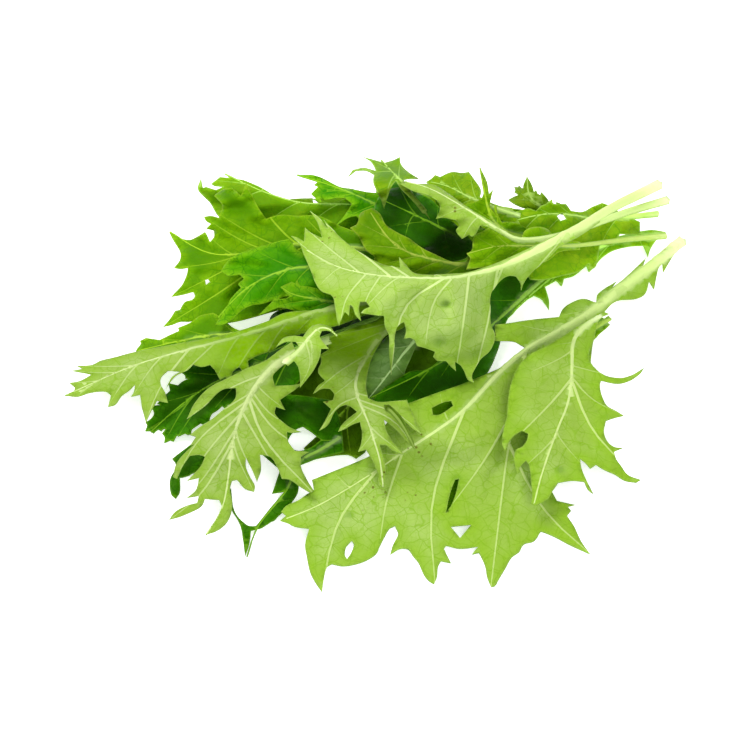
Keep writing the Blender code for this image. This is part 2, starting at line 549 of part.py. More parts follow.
LEAVES = [
    Leaf("back_under_leaf", "dark", 2.2,
         rib=[(610, 232, 3), (540, 228, 3), (460, 226, 3), (380, 232, 3), (300, 240, 1), (262, 248, -1)],
         lobes=[(540, 228, 500, 262, 0), (500, 227, 470, 206, -1), (460, 226, 420, 262, 0),
                (430, 228, 395, 207, -1), (390, 231, 345, 262, 0), (360, 234, 320, 214, -1),
                (320, 238, 280, 266, 0)],
         cell=COARSE_CELL),
    Leaf("right_low_leaf", "mid", 2.2,
         rib=[(665, 236, 4), (630, 238, 5), (600, 247, 5), (570, 262, 4), (545, 283, 3), (520, 305, 2),
              (500, 325, 1)],
         lobes=[(640, 238, 648, 257, 0), (615, 243, 589, 272, -1), (590, 252, 563, 286, -1),
                (560, 270, 549, 309, -1, 545, 290), (560, 268, 535, 262, 5), (535, 292, 512, 290, 4)],
         edge=[(666, 232), (655, 242), (650, 250), (648, 257), (643, 246), (628, 247), (613, 251),
               (602, 258), (595, 266), (589, 272), (586, 266), (574, 276), (564, 279), (562, 286),
               (556, 281), (545, 287), (549, 300), (549, 310), (542, 300), (534, 296), (522, 303),
               (513, 314), (505, 321), (496, 326), (494, 300), (510, 280), (540, 262), (580, 246),
               (620, 236), (650, 230)],
         cell=COARSE_CELL),
    Leaf("shade_leaf", "olive", 2.0,
         rib=[(440, 325, 8), (400, 360, 7), (365, 390, 5), (330, 425, 3), (304, 449, 1)],
         lobes=[(420, 340, 395, 395, 3), (385, 372, 365, 440, 2), (350, 405, 352, 462, 1),
                (330, 425, 318, 462, 1), (420, 340, 355, 345, 10), (390, 366, 320, 375, 8),
                (355, 400, 300, 405, 6), (335, 420, 300, 430, 3)],
         edge=[(462, 312), (448, 345), (432, 372), (400, 396), (378, 420), (370, 440), (365, 452),
               (356, 459), (348, 455), (322, 458), (300, 464), (308, 456), (304, 449), (314, 442),
               (320, 436), (310, 427), (296, 426), (285, 424), (277, 410), (272, 395), (285, 380),
               (302, 366), (340, 352), (380, 332), (420, 312)],
         cell=COARSE_CELL),
    Leaf("inner_grey_leaf", "grey", 2.2,
         rib=[(440, 316, 9), (410, 345, 8), (390, 372, 6), (368, 400, 4)],
         lobes=[(410, 345, 376, 350, 8), (395, 365, 405, 376, 6), (415, 340, 400, 330, 9),
                (385, 378, 367, 378, 6)],
         edge=[(446, 312), (430, 332), (418, 344), (411, 358), (405, 372), (404, 380), (396, 388),
               (384, 396), (369, 401), (366, 392), (366, 378), (369, 362), (377, 348), (386, 338),
               (400, 326), (425, 308)],
         cell=COARSE_CELL),
    Leaf("inner_dark_leaf", "dark", 2.0,
         rib=[(560, 262, 5), (520, 300, 5), (470, 345, 4), (420, 375, 4), (370, 398, 3)],
         lobes=[(510, 310, 480, 345, 2), (470, 342, 440, 378, 2), (440, 365, 405, 402, 2),
                (470, 342, 430, 338, 6), (430, 370, 400, 366, 5), (520, 298, 480, 300, 7)],
         edge=[(575, 255), (545, 280), (520, 300), (505, 325), (498, 350), (487, 374), (478, 381),
               (462, 394), (446, 392), (425, 407), (410, 403), (395, 408), (380, 405), (370, 404),
               (378, 393), (390, 384), (402, 376), (412, 371), (425, 370), (436, 363), (450, 346),
               (466, 318), (486, 290), (520, 258)],
         cell=COARSE_CELL),
    Leaf("left_shade_leaf", "dark", 2.0,
         rib=[(400, 306, 8), (360, 316, 8), (320, 330, 7), (285, 346, 5), (262, 356, 4)],
         lobes=[(360, 316, 335, 350, 5), (330, 326, 290, 312, 8), (300, 340, 272, 330, 6),
                (310, 334, 300, 364, 4)],
         edge=[(402, 298), (370, 300), (340, 302), (300, 306), (278, 311), (270, 318), (269, 330),
               (262, 340), (256, 350), (262, 360), (280, 366), (300, 366), (320, 362), (340, 352),
               (370, 338), (402, 322)],
         cell=COARSE_CELL),
    Leaf("low_left_leaf", "dark", 2.2,
         rib=[(400, 310, 9), (330, 335, 11), (265, 362, 10), (217, 380, 9), (180, 405, 4), (151, 432, -1)],
         lobes=[(265, 362, 215, 408, 5), (225, 378, 178, 437, 3), (200, 392, 164, 443, -1),
                (255, 366, 235, 430, 3), (265, 362, 225, 345, 12), (235, 373, 180, 372, 10),
                (205, 387, 157, 404, 5), (190, 398, 145, 431, -1), (300, 350, 262, 420, 5)],
         cell=COARSE_CELL),
    Leaf("low_sprig_leaf", "dark", 1.8,
         rib=[(339, 438, 3), (322, 450, 3), (303, 458, 3), (292, 472, 2), (290, 486, 2), (277, 503, 2),
              (256, 527, 1), (247, 557, 1)],
         lobes=[(330, 430, 262, 430, 4), (300, 455, 240, 470, 3), (284, 485, 273, 495, 1),
                (256, 527, 231, 490, 1, 240, 518), (300, 455, 299, 486, 1), (275, 500, 290, 500, 1)],
         edge=[(340, 420), (330, 400), (290, 395), (255, 400), (215, 420), (196, 440), (172, 459),
               (176, 466), (170, 480), (171, 494), (176, 499), (180, 492), (180, 478), (187, 476),
               (196, 472), (210, 455), (240, 440), (262, 455), (280, 470), (272, 494), (284, 492),
               (272, 506), (256, 526), (249, 526), (240, 519), (234, 510), (231, 488), (229, 492),
               (231, 508), (240, 525), (243, 540), (245, 557), (249, 545), (251, 531), (262, 528),
               (280, 515), (297, 495), (299, 482), (301, 465), (320, 458), (344, 452)],
         holes=[[(288, 441), (296, 430), (303, 427), (312, 433), (321, 440), (310, 448), (299, 451),
                 (291, 448)]]),
    Leaf("front_under_leaf", "fresh", 2.2,
         rib=[(610, 318, 3), (560, 350, 2), (520, 390, 2), (480, 440, 1), (455, 495, 0)],
         lobes=[(560, 350, 530, 420, 1), (530, 380, 520, 468, 1), (520, 390, 440, 402, 1),
                (500, 415, 550, 474, 1), (480, 440, 446, 430, 1)],
         edge=[(610, 325), (590, 345), (575, 400), (570, 440), (556, 470), (540, 482), (515, 470),
               (500, 480), (480, 500), (462, 512), (446, 515), (444, 490), (436, 450), (428, 420),
               (426, 404), (440, 397), (460, 398), (490, 385), (530, 356), (570, 332), (600, 316)],
         ripple=0.2,
         cell=COARSE_CELL),
    Leaf("front_leaf", "front", 4.4,
         rib=[(683, 240, 7), (654, 264, 6), (622, 288, 5), (586, 316, 5), (556, 334, 5), (526, 349, 5),
              (495, 376, 5), (466, 410, 5), (440, 429, 4), (403, 452, 4), (378, 470, 3), (346, 490, 3),
              (315, 508, 1), (281, 521, -1)],
         lobes=[(622, 288, 596, 303, 9), (600, 304, 560, 316, 8), (560, 331, 514, 324, 9),
                (526, 351, 491, 587, -2, 507, 450), (526, 360, 560, 480, 3, 548, 420),
                (507, 440, 590, 554, -2, 540, 510), (505, 425, 452, 505, 2, 480, 468),
                (466, 411, 435, 584, -2, 428, 500), (403, 454, 380, 540, 0, 386, 500),
                (378, 471, 322, 592, -2, 335, 520), (500, 372, 486, 376, 6), (450, 424, 440, 393, 8),
                (400, 455, 372, 452, 6), (350, 488, 334, 473, 4)],
         edge=[(679, 248), (672, 258), (663, 273), (662, 262), (658, 270), (654, 290), (649, 282),
               (645, 294), (636, 299), (617, 301), (607, 309), (598, 322), (592, 350), (590, 380),
               (590, 420), (582, 450), (566, 472), (552, 492), (557, 501), (575, 505), (568, 507),
               (571, 511), (567, 516), (574, 526), (581, 541), (590, 554), (570, 545), (555, 537),
               (541, 531), (534, 541), (524, 544), (519, 552), (512, 557), (505, 569), (499, 579),
               (495, 586), (491, 587), (487, 577), (485, 566), (479, 552), (472, 554), (478, 547),
               (460, 549), (446, 546), (444, 549), (451, 563), (441, 561), (438, 567), (437, 577),
               (434, 584), (429, 581), (424, 575), (418, 562), (413, 556), (409, 549), (400, 549),
               (390, 555), (393, 545), (398, 534), (395, 526), (390, 528), (385, 536), (380, 546),
               (376, 554), (365, 561), (352, 565), (342, 566), (332, 564), (327, 567), (324, 578),
               (322, 592), (315, 582), (310, 572), (307, 558), (305, 545), (309, 529), (295, 527),
               (289, 524), (280, 521), (286, 516), (281, 512), (286, 506), (297, 501), (306, 495),
               (314, 490), (312, 480), (332, 472), (357, 462), (370, 456), (369, 446), (377, 434),
               (390, 420), (402, 407), (418, 400), (440, 392), (460, 385), (482, 376), (500, 368),
               (518, 354), (527, 349), (520, 345), (514, 342), (495, 341), (495, 325), (511, 323),
               (530, 320), (559, 317), (563, 309), (573, 302), (584, 299), (596, 303), (598, 294),
               (617, 281), (612, 288), (626, 277), (646, 258), (642, 268), (655, 256), (664, 252)],
         holes=[[(451, 527), (460, 538), (471, 525)],
                [(432, 408), (433, 415), (439, 415), (446, 411), (453, 406), (451, 401), (442, 403)],
                [(459, 479), (455, 480), (450, 494), (446, 513), (451, 506), (456, 493)],
                [(346, 547), (345, 556), (347, 559), (351, 553), (354, 544), (352, 541)]],
         ripple=0.6),
    Leaf("front_side_leaf", "front", 1.7,
         rib=[(600, 316, 8), (584, 326, 8), (572, 341, 8), (572, 363, 8), (570, 400, 7), (556, 432, 7),
              (541, 475, 7), (534, 505, 6)],
         lobes=[(572, 341, 555, 345, 8), (573, 366, 625, 380, 6, 595, 372),
                (574, 377, 624, 416, 3, 590, 400), (573, 379, 641, 481, 2, 590, 432),
                (556, 432, 583, 466, 4), (572, 380, 505, 449, 6, 550, 405), (556, 432, 518, 472, 6),
                (572, 350, 525, 375, 8)],
         edge=[(604, 312), (609, 314), (600, 319), (596, 330), (594, 340), (589, 353), (589, 358),
               (593, 366), (604, 375), (620, 378), (632, 375), (644, 368), (640, 374), (630, 381),
               (618, 384), (601, 381), (600, 386), (602, 396), (607, 406), (616, 411), (624, 416),
               (612, 419), (606, 421), (604, 432), (607, 441), (614, 447), (623, 448), (614, 452),
               (616, 459), (621, 466), (628, 475), (641, 480), (636, 483), (625, 481), (615, 475),
               (602, 469), (596, 465), (590, 469), (586, 464), (580, 459), (582, 470), (593, 494),
               (588, 490), (577, 468), (568, 465), (561, 471), (572, 480), (584, 482), (572, 481),
               (558, 483), (552, 492), (548, 499), (535, 506), (531, 504), (532, 495), (531, 482),
               (529, 466), (526, 461), (521, 466), (517, 474), (514, 462), (516, 450), (522, 447),
               (527, 440), (528, 434), (522, 431), (514, 436), (508, 444), (505, 451), (502, 444),
               (503, 432), (507, 415), (508, 400), (512, 380), (520, 364), (531, 354), (545, 347),
               (562, 337), (580, 325)],
         ripple=0.6),
    Leaf("back_low_leaf", "mid", 2.0,
         rib=[(560, 222, 6), (480, 208, 10), (400, 204, 13), (320, 208, 12), (250, 222, 9), (215, 240, 4)],
         lobes=[(480, 208, 440, 250, 5), (440, 206, 400, 194, 12), (400, 204, 350, 250, 5),
                (350, 206, 315, 200, 11), (320, 208, 280, 250, 4), (280, 215, 240, 205, 8),
                (260, 220, 228, 262, 3)],
         cell=COARSE_CELL),
    Leaf("back_long_leaf", "mid", 2.4,
         rib=[(540, 222, 14), (500, 226, 18), (457, 226, 20), (427, 221, 22), (382, 206, 26),
              (340, 204, 26), (300, 204, 25), (262, 192, 25), (225, 174, 26)],
         lobes=[(457, 226, 420, 195, 28), (382, 206, 345, 196, 30), (457, 226, 400, 250, 14),
                (400, 214, 350, 240, 16), (340, 204, 300, 232, 16), (300, 204, 262, 226, 16),
                (262, 192, 215, 215, 16), (250, 186, 202, 180, 24), (300, 204, 262, 188, 27)],
         edge=[(540, 212), (500, 206), (462, 192), (436, 197), (410, 190), (396, 196), (376, 193),
               (352, 196), (337, 202), (320, 206), (300, 205), (288, 202), (277, 197), (260, 187),
               (243, 180), (236, 179), (225, 174), (229, 178), (220, 177), (211, 184), (214, 186),
               (223, 187), (216, 190), (206, 187), (203, 188), (201, 178), (198, 190), (210, 203),
               (219, 217), (240, 230), (270, 235), (300, 240), (340, 245), (390, 252), (420, 262),
               (466, 262), (500, 250), (540, 234)]),
    Leaf("curly_leaf", "mid", 2.0,
         rib=[(570, 213, 12), (555, 212, 15), (540, 208, 20), (528, 195, 26), (527, 177, 32)],
         lobes=[(540, 208, 514, 187, 27), (534, 200, 508, 200, 22), (545, 211, 541, 192, 26),
                (535, 202, 536, 190, 29), (555, 213, 520, 218, 16), (565, 213, 556, 202, 20)],
         cell=COARSE_CELL),
    Leaf("back_right_leaf", "mid", 2.6,
         rib=[(658, 214, 9), (630, 217, 10), (595, 220, 13), (566, 214, 16), (541, 214, 18), (510, 222, 18)],
         lobes=[(600, 224, 604, 202, 18), (575, 216, 552, 199, 22), (550, 214, 530, 202, 22),
                (590, 222, 570, 245, 8), (566, 215, 540, 240, 10), (541, 216, 515, 242, 12),
                (620, 230, 600, 246, 6)],
         edge=[(640, 235), (620, 234), (612, 246), (600, 244), (596, 266), (589, 271), (589, 264),
               (578, 272), (562, 276), (545, 280), (530, 280), (520, 262), (512, 242), (504, 222),
               (506, 212), (515, 212), (528, 208), (536, 211), (541, 206), (546, 204), (552, 199),
               (553, 204), (566, 204), (571, 211), (582, 212), (592, 207), (602, 203), (610, 206),
               (622, 214), (640, 222)],
         holes=[[(557, 216), (560, 221), (566, 219), (562, 213)]]),
    Leaf("back_top_leaf", "mid", 2.2,
         rib=[(520, 216, 20), (500, 210, 24), (470, 198, 29), (448, 186, 32), (430, 182, 33)],
         lobes=[(480, 202, 470, 173, 36), (465, 195, 452, 173, 36), (455, 190, 436, 176, 34),
                (490, 208, 455, 222, 22), (475, 200, 445, 214, 24)],
         edge=[(520, 224), (500, 222), (470, 232), (440, 224), (436, 206), (434, 192), (426, 182),
               (431, 179), (435, 175), (440, 177), (452, 172), (462, 173), (469, 172), (474, 179),
               (481, 190), (480, 197), (492, 205), (512, 208)]),
    Leaf("back_finger_leaf", "fresh", 2.0,
         rib=[(525, 236, 22), (510, 234, 26), (495, 225, 30), (487, 208, 34), (480, 168, 42)],
         lobes=[(500, 228, 497, 204, 32), (495, 221, 493, 190, 36), (500, 230, 468, 205, 32),
                (500, 230, 470, 226, 28)],
         edge=[(530, 245), (530, 230), (512, 222), (502, 223), (498, 215), (496, 204), (494, 208),
               (497, 217), (490, 207), (491, 199), (493, 190), (489, 194), (487, 182), (480, 167),
               (483, 182), (483, 195), (478, 201), (466, 204), (462, 215), (480, 226), (505, 240)]),
    Leaf("back_left_top_leaf", "bright", 2.2,
         rib=[(440, 228, 24), (420, 226, 26), (376, 205, 30), (345, 190, 32), (297, 175, 32)],
         lobes=[(400, 218, 376, 196, 32), (360, 197, 318, 188, 32), (345, 190, 311, 195, 30),
                (376, 205, 334, 227, 24, 352, 214), (400, 218, 372, 240, 22), (355, 195, 316, 203, 28),
                (376, 205, 400, 190, 34)],
         edge=[(440, 234), (420, 238), (400, 250), (380, 245), (366, 226), (356, 216), (348, 218),
               (334, 228), (345, 215), (352, 204), (345, 198), (336, 198), (325, 200), (320, 198),
               (322, 203), (311, 199), (316, 199), (311, 194), (318, 187), (314, 185), (318, 182),
               (310, 177), (297, 175), (312, 175), (322, 178), (340, 187), (352, 189), (366, 192),
               (376, 193), (376, 182), (390, 180), (400, 180), (412, 186), (430, 205), (440, 218)]),
    Leaf("back_left_leaf", "fresh", 2.6,
         rib=[(400, 250, 22), (380, 250, 24), (330, 246, 26), (275, 244, 26), (242, 255, 22),
              (206, 255, 17), (170, 232, 14)],
         lobes=[(300, 243, 246, 184, 34), (280, 244, 220, 215, 28), (262, 248, 205, 218, 24),
                (235, 255, 205, 233, 20), (262, 249, 174, 268, 14, 215, 264),
                (265, 249, 171, 297, 10, 215, 276), (285, 246, 164, 327, 8, 225, 290),
                (310, 245, 235, 300, 12), (340, 246, 300, 212, 32)],
         edge=[(400, 262), (380, 280), (330, 300), (280, 310), (235, 322), (210, 324), (196, 321),
               (188, 322), (180, 322), (172, 325), (163, 327), (170, 319), (175, 311), (180, 310),
               (185, 302), (192, 300), (195, 296), (193, 292), (182, 295), (171, 297), (182, 285),
               (187, 274), (188, 268), (180, 269), (174, 268), (180, 260), (180, 252), (173, 240),
               (169, 232), (175, 234), (182, 239), (190, 240), (197, 237), (205, 232), (207, 235),
               (210, 242), (214, 237), (214, 231), (206, 229), (211, 224), (206, 221), (204, 217),
               (211, 216), (219, 218), (222, 205), (214, 196), (222, 190), (232, 188), (241, 196),
               (246, 183), (251, 193), (258, 207), (266, 219), (280, 215), (296, 216), (318, 216),
               (340, 226), (370, 236), (400, 240)],
         holes=[[(205, 280), (206, 285), (210, 282), (208, 279)]]),
    Leaf("left_under_leaf", "fresh", 2.2,
         rib=[(275, 334, 12), (240, 335, 10), (211, 335, 8), (175, 342, 5), (137, 351, -1)],
         lobes=[(240, 335, 213, 313, 10), (215, 335, 178, 328, 7), (190, 339, 146, 338, 4),
                (240, 335, 225, 352, 8), (211, 335, 190, 362, 5), (190, 339, 160, 364, 2)],
         edge=[(275, 340), (262, 342), (245, 346), (230, 352), (190, 362), (160, 366), (140, 360),
               (136, 351), (141, 344), (140, 341), (146, 338), (160, 340), (170, 335), (179, 331),
               (178, 328), (190, 323), (200, 316), (213, 313), (222, 318), (232, 327), (242, 331),
               (258, 331), (275, 328)],
         cell=COARSE_CELL),
    Leaf("bright_leaf", "bright", 2.6,
         rib=[(400, 275, 26), (360, 272, 27), (325, 268, 28), (288, 268, 27), (255, 282, 21),
              (235, 298, 15), (218, 318, 10)],
         lobes=[(330, 270, 287, 240, 32), (300, 268, 255, 251, 27), (270, 276, 222, 271, 20),
                (248, 288, 240, 283, 16), (330, 272, 318, 296, 18), (310, 270, 285, 298, 17),
                (290, 268, 262, 303, 15), (262, 280, 232, 316, 10)],
         edge=[(400, 284), (370, 300), (340, 312), (312, 300), (290, 296), (275, 300), (262, 304),
               (250, 306), (240, 312), (232, 320), (222, 325), (215, 325), (221, 316), (227, 308),
               (230, 300), (236, 293), (241, 288), (238, 284), (244, 279), (240, 275), (228, 276),
               (221, 271), (226, 263), (236, 255), (250, 250), (262, 246), (280, 241), (290, 239),
               (300, 252), (330, 258), (370, 264), (400, 266)]),
    Leaf("bright_frond_leaf", "bright", 2.0,
         rib=[(362, 305, 25), (335, 303, 27), (310, 298, 28), (292, 295, 27), (281, 287, 26)],
         lobes=[(322, 300, 297, 280, 29, 306, 289), (318, 302, 258, 316, 20, 285, 303),
                (332, 304, 300, 313, 23)],
         edge=[(362, 312), (345, 318), (330, 321), (318, 318), (300, 313), (288, 309), (279, 308),
               (268, 312), (258, 316), (266, 308), (272, 302), (275, 299), (286, 299), (290, 296),
               (284, 291), (281, 287), (287, 284), (292, 282), (296, 284), (297, 280), (300, 286),
               (310, 287), (322, 290), (340, 294), (362, 298)]),
    Leaf("back_shade_leaf", "dark", 2.0,
         rib=[(466, 240, 27), (445, 230, 28), (425, 220, 29), (402, 209, 30), (382, 200, 30)],
         lobes=[(430, 223, 388, 227, 27), (420, 217, 398, 184, 30), (445, 231, 452, 256, 24),
                (415, 216, 404, 242, 27), (440, 228, 438, 204, 29)],
         edge=[(474, 244), (466, 258), (450, 262), (425, 262), (400, 250), (385, 236), (374, 216),
               (377, 200), (388, 190), (402, 187), (418, 193), (434, 202), (448, 218), (462, 230)],
         cell=COARSE_CELL),
    Leaf("heart_leaf", "yellow", 2.4,
         rib=[(520, 255, 20), (500, 260, 22), (465, 266, 25), (430, 260, 27), (400, 250, 29),
              (385, 235, 31), (370, 212, 34)],
         lobes=[(430, 260, 412, 222, 32), (410, 253, 396, 230, 33), (400, 250, 357, 222, 31),
                (405, 251, 352, 245, 28), (420, 257, 372, 268, 24), (440, 263, 395, 283, 21),
                (465, 266, 425, 290, 20), (465, 266, 440, 238, 26)],
         edge=[(520, 262), (500, 274), (470, 282), (430, 285), (400, 275), (375, 262), (374, 257),
               (366, 250), (358, 236), (350, 228), (357, 224), (361, 213), (372, 208), (380, 214),
               (386, 225), (398, 233), (408, 238), (422, 248), (438, 256), (452, 262), (466, 262),
               (470, 254), (480, 246), (500, 248), (520, 248)]),
    Leaf("star_leaf", "mid", 2.2,
         rib=[(425, 212, 30), (415, 200, 34), (405, 185, 38), (392, 172, 41), (381, 160, 42)],
         lobes=[(400, 180, 402, 157, 43), (405, 183, 418, 179, 38), (395, 174, 363, 157, 44),
                (392, 172, 348, 177, 40), (395, 176, 384, 209, 28)],
         edge=[(430, 219), (419, 208), (409, 197), (401, 189), (396, 181), (392, 186), (388, 196),
               (384, 209), (381, 200), (376, 190), (373, 181), (374, 175), (366, 171), (356, 171),
               (348, 177), (353, 170), (364, 168), (376, 171), (371, 162), (363, 157), (374, 160),
               (384, 163), (394, 160), (400, 157), (401, 164), (407, 171), (419, 179), (410, 179),
               (404, 180), (406, 186), (413, 195), (422, 206)]),
    Leaf("right_mid_leaf", "yellow", 2.6,
         rib=[(666, 236, 13), (620, 240, 17), (580, 246, 20), (545, 246, 24), (520, 246, 26),
              (495, 246, 26), (467, 254, 24)],
         lobes=[(545, 246, 530, 230, 29), (510, 246, 490, 228, 28), (495, 246, 475, 236, 27),
                (526, 248, 500, 264, 20), (505, 246, 480, 264, 22), (560, 246, 545, 258, 18)],
         edge=[(580, 250), (560, 252), (545, 262), (520, 262), (500, 266), (478, 268), (466, 270),
               (470, 258), (467, 254), (472, 250), (474, 236), (482, 232), (490, 227), (498, 231),
               (508, 238), (520, 243), (524, 232), (530, 228), (540, 227), (548, 230), (556, 238),
               (580, 242)]),
    Leaf("upper_mid_leaf", "pale", 3.4,
         rib=[(668, 200, 13), (620, 214, 18), (570, 234, 24), (521, 242, 28), (500, 231, 32),
              (478, 217, 35), (453, 201, 38), (427, 187, 38), (405, 182, 37)],
         lobes=[(500, 231, 490, 222, 34), (478, 217, 462, 239, 28), (490, 223, 474, 237, 28),
                (465, 208, 437, 219, 31), (500, 231, 505, 240, 28)],
         edge=[(560, 240), (540, 245), (521, 244), (510, 240), (497, 232), (487, 227), (480, 226),
               (476, 234), (472, 237), (469, 235), (462, 239), (456, 231), (459, 225), (455, 220),
               (442, 218), (436, 219), (440, 208), (437, 201), (427, 195), (415, 192), (407, 188),
               (400, 184), (407, 183), (417, 184), (427, 184), (436, 186), (450, 195), (470, 209),
               (487, 219), (497, 225), (506, 233), (521, 240), (540, 238), (560, 234)]),
    Leaf("left_long_leaf", "pale", 3.4,
         rib=[(420, 290, 26), (380, 299, 26), (350, 304, 25), (319, 313, 23), (285, 323, 20),
              (241, 337, 17), (187, 350, 14), (140, 363, 11), (100, 380, 8), (65, 396, 5)],
         lobes=[(319, 313, 290, 340, 14), (290, 322, 258, 370, 12), (270, 328, 231, 380, 11),
                (241, 337, 218, 376, 10), (215, 344, 168, 388, 7, 192, 365),
                (190, 349, 146, 422, 4, 160, 385), (165, 355, 133, 396, 6), (140, 363, 108, 407, 4),
                (110, 376, 78, 396, 5), (100, 380, 68, 383, 7), (120, 370, 71, 371, 8),
                (140, 362, 76, 366, 9), (300, 318, 290, 313, 22), (241, 337, 236, 331, 19)],
         edge=[(420, 300), (380, 310), (340, 325), (318, 330), (295, 336), (285, 340), (275, 349),
               (266, 353), (255, 357), (248, 361), (249, 368), (252, 376), (245, 375), (239, 367),
               (233, 372), (231, 381), (225, 377), (220, 380), (215, 371), (210, 365), (202, 367),
               (193, 365), (188, 370), (176, 376), (168, 386), (166, 389), (172, 377), (180, 372),
               (168, 371), (161, 378), (161, 385), (165, 392), (168, 403), (157, 401), (152, 410),
               (146, 423), (142, 408), (140, 395), (131, 397), (134, 392), (135, 385), (129, 391),
               (122, 396), (115, 405), (108, 407), (111, 396), (106, 392), (97, 392), (87, 394), (78, 397),
               (65, 396), (73, 393), (75, 388), (69, 383), (80, 381), (91, 375), (82, 373), (71, 371),
               (82, 369), (76, 366), (92, 365), (100, 361), (112, 358), (135, 352), (160, 347), (187, 342),
               (220, 336), (245, 329), (268, 321), (285, 313), (319, 310), (350, 298), (380, 290),
               (420, 282)]),
    Leaf("middle_leaf", "pale", 3.2,
         rib=[(440, 302, 30), (420, 308, 30), (400, 316, 29), (383, 332, 27), (368, 352, 23),
              (354, 380, 19), (358, 400, 16), (368, 421, 12), (374, 440, 9), (381, 463, 6), (383, 487, 3)],
         lobes=[(400, 316, 337, 335, 27), (385, 330, 320, 357, 20, 350, 345),
                (366, 354, 314, 394, 15, 338, 372), (356, 374, 324, 402, 14),
                (358, 398, 320, 431, 12, 338, 404), (362, 410, 339, 432, 11), (371, 432, 358, 452, 9),
                (356, 392, 408, 402, 17), (360, 400, 421, 434, 14, 400, 414),
                (362, 404, 415, 450, 11, 396, 420), (368, 421, 404, 455, 8), (380, 333, 372, 360, 23)],
         edge=[(440, 310), (420, 318), (400, 330), (386, 336), (380, 344), (372, 358), (368, 372),
               (366, 386), (368, 398), (378, 402), (396, 401), (407, 400), (409, 406), (413, 414),
               (417, 425), (421, 434), (413, 429), (404, 421), (396, 417), (403, 427), (410, 438),
               (415, 450), (406, 441), (395, 429), (384, 420), (387, 432), (395, 444), (404, 455),
               (393, 451), (386, 445), (380, 445), (383, 456), (386, 470), (385, 481), (382, 488),
               (378, 481), (377, 472), (372, 460), (366, 450), (358, 452), (361, 444), (362, 434),
               (360, 422), (352, 425), (345, 429), (338, 432), (341, 426), (348, 419), (357, 412),
               (351, 407), (345, 405), (340, 407), (334, 413), (328, 425), (319, 431), (325, 421),
               (331, 409), (323, 402), (333, 400), (334, 394), (330, 389), (322, 389), (313, 394),
               (318, 386), (325, 381), (318, 372), (321, 362), (320, 355), (328, 350), (327, 338),
               (337, 334), (355, 327), (377, 320), (400, 300), (440, 294)]),
    Leaf("lower_left_leaf", "pale", 3.4,
         rib=[(330, 340, 24), (310, 347, 23), (292, 356, 22), (273, 367, 21), (254, 389, 17),
              (240, 415, 13), (232, 443, 8), (228, 483, 4), (222, 512, 2), (206, 535, 0)],
         lobes=[(270, 371, 304, 383, 16), (258, 384, 285, 410, 12), (252, 393, 301, 431, 10, 270, 416),
                (250, 397, 309, 452, 8, 272, 430), (250, 400, 313, 493, 4, 262, 440),
                (240, 412, 282, 479, 5, 258, 440), (236, 425, 258, 482, 4), (234, 436, 254, 492, 3),
                (268, 373, 187, 419, 10, 230, 387), (252, 392, 191, 435, 9, 220, 412),
                (246, 400, 180, 470, 6, 200, 436), (240, 412, 188, 482, 5, 208, 450),
                (236, 428, 187, 498, 3, 206, 476), (233, 440, 170, 520, 1, 204, 494)],
         edge=[(296, 352), (288, 362), (278, 370), (273, 376), (275, 386), (295, 385), (305, 382),
               (292, 392), (280, 400), (285, 410), (276, 407), (275, 414), (285, 424), (293, 429),
               (301, 432), (292, 433), (287, 432), (288, 441), (295, 451), (309, 452), (301, 457),
               (301, 467), (307, 480), (314, 491), (310, 493), (300, 487), (290, 480), (282, 479),
               (277, 467), (270, 457), (260, 455), (261, 470), (257, 482), (252, 470), (246, 458),
               (246, 467), (250, 477), (255, 486), (254, 492), (245, 489), (237, 480), (232, 481),
               (230, 490), (232, 501), (231, 514), (225, 525), (215, 532), (206, 535), (212, 527),
               (220, 517), (222, 507), (219, 500), (205, 499), (202, 506), (194, 511), (180, 517),
               (169, 520), (175, 512), (186, 506), (197, 503), (199, 496), (187, 498), (196, 490),
               (199, 478), (187, 481), (193, 475), (201, 466), (205, 457), (199, 455), (190, 456),
               (183, 466), (177, 479), (173, 477), (176, 465), (184, 454), (195, 444), (190, 446),
               (196, 437), (190, 435), (200, 427), (211, 420), (223, 410), (235, 399), (236, 388),
               (222, 390), (204, 407), (187, 419), (195, 403), (209, 388), (230, 377), (248, 368),
               (265, 361), (280, 350), (292, 342)]),
    Leaf("strap_leaf", "mid", 1.2,
         rib=[(388, 409, 16), (396, 416, 16), (403, 426, 14), (409, 437, 11), (415, 449, 8)],
         lobes=[(388, 409, 386, 406, 16)],
         edge=[(384, 405), (389, 405), (394, 409), (400, 415), (405, 422), (409, 431), (413, 440),
               (416, 449), (411, 445), (407, 437), (402, 428), (396, 420), (390, 414), (385, 410)],
         ripple=0.2),
    Leaf("curled_leaf", "pale", 1.8,
         rib=[(284, 362, 18), (298, 352, 22), (309, 338, 27), (318, 328, 29), (328, 328, 29),
              (337, 336, 27)],
         lobes=[(309, 338, 314, 352, 25), (310, 340, 312, 366, 20), (308, 342, 300, 386, 13, 312, 364),
                (302, 342, 278, 346, 21), (318, 330, 328, 348, 25)],
         edge=[(288, 366), (282, 362), (290, 355), (299, 347), (296, 342), (286, 342), (276, 347),
               (284, 338), (295, 336), (303, 337), (311, 327), (320, 324), (330, 327), (337, 336),
               (329, 331), (322, 331), (320, 337), (329, 349), (321, 349), (320, 357), (314, 370),
               (309, 377), (300, 388), (300, 378), (298, 367), (294, 361)],
         ripple=0.3),
    Leaf("crown_leaf", "pale", 4.2,
         rib=[(660, 184, 20), (644, 192, 22), (613, 207, 26), (576, 230, 31), (546, 246, 34),
              (506, 266, 38), (478, 274, 41), (453, 279, 43), (415, 279, 44), (376, 276, 44),
              (338, 269, 42), (304, 249, 38)],
         lobes=[(566, 238, 521, 290, 25, 540, 264), (504, 271, 494, 335, 20, 490, 300),
                (500, 273, 473, 383, 9, 486, 330), (470, 280, 456, 371, 12, 462, 330),
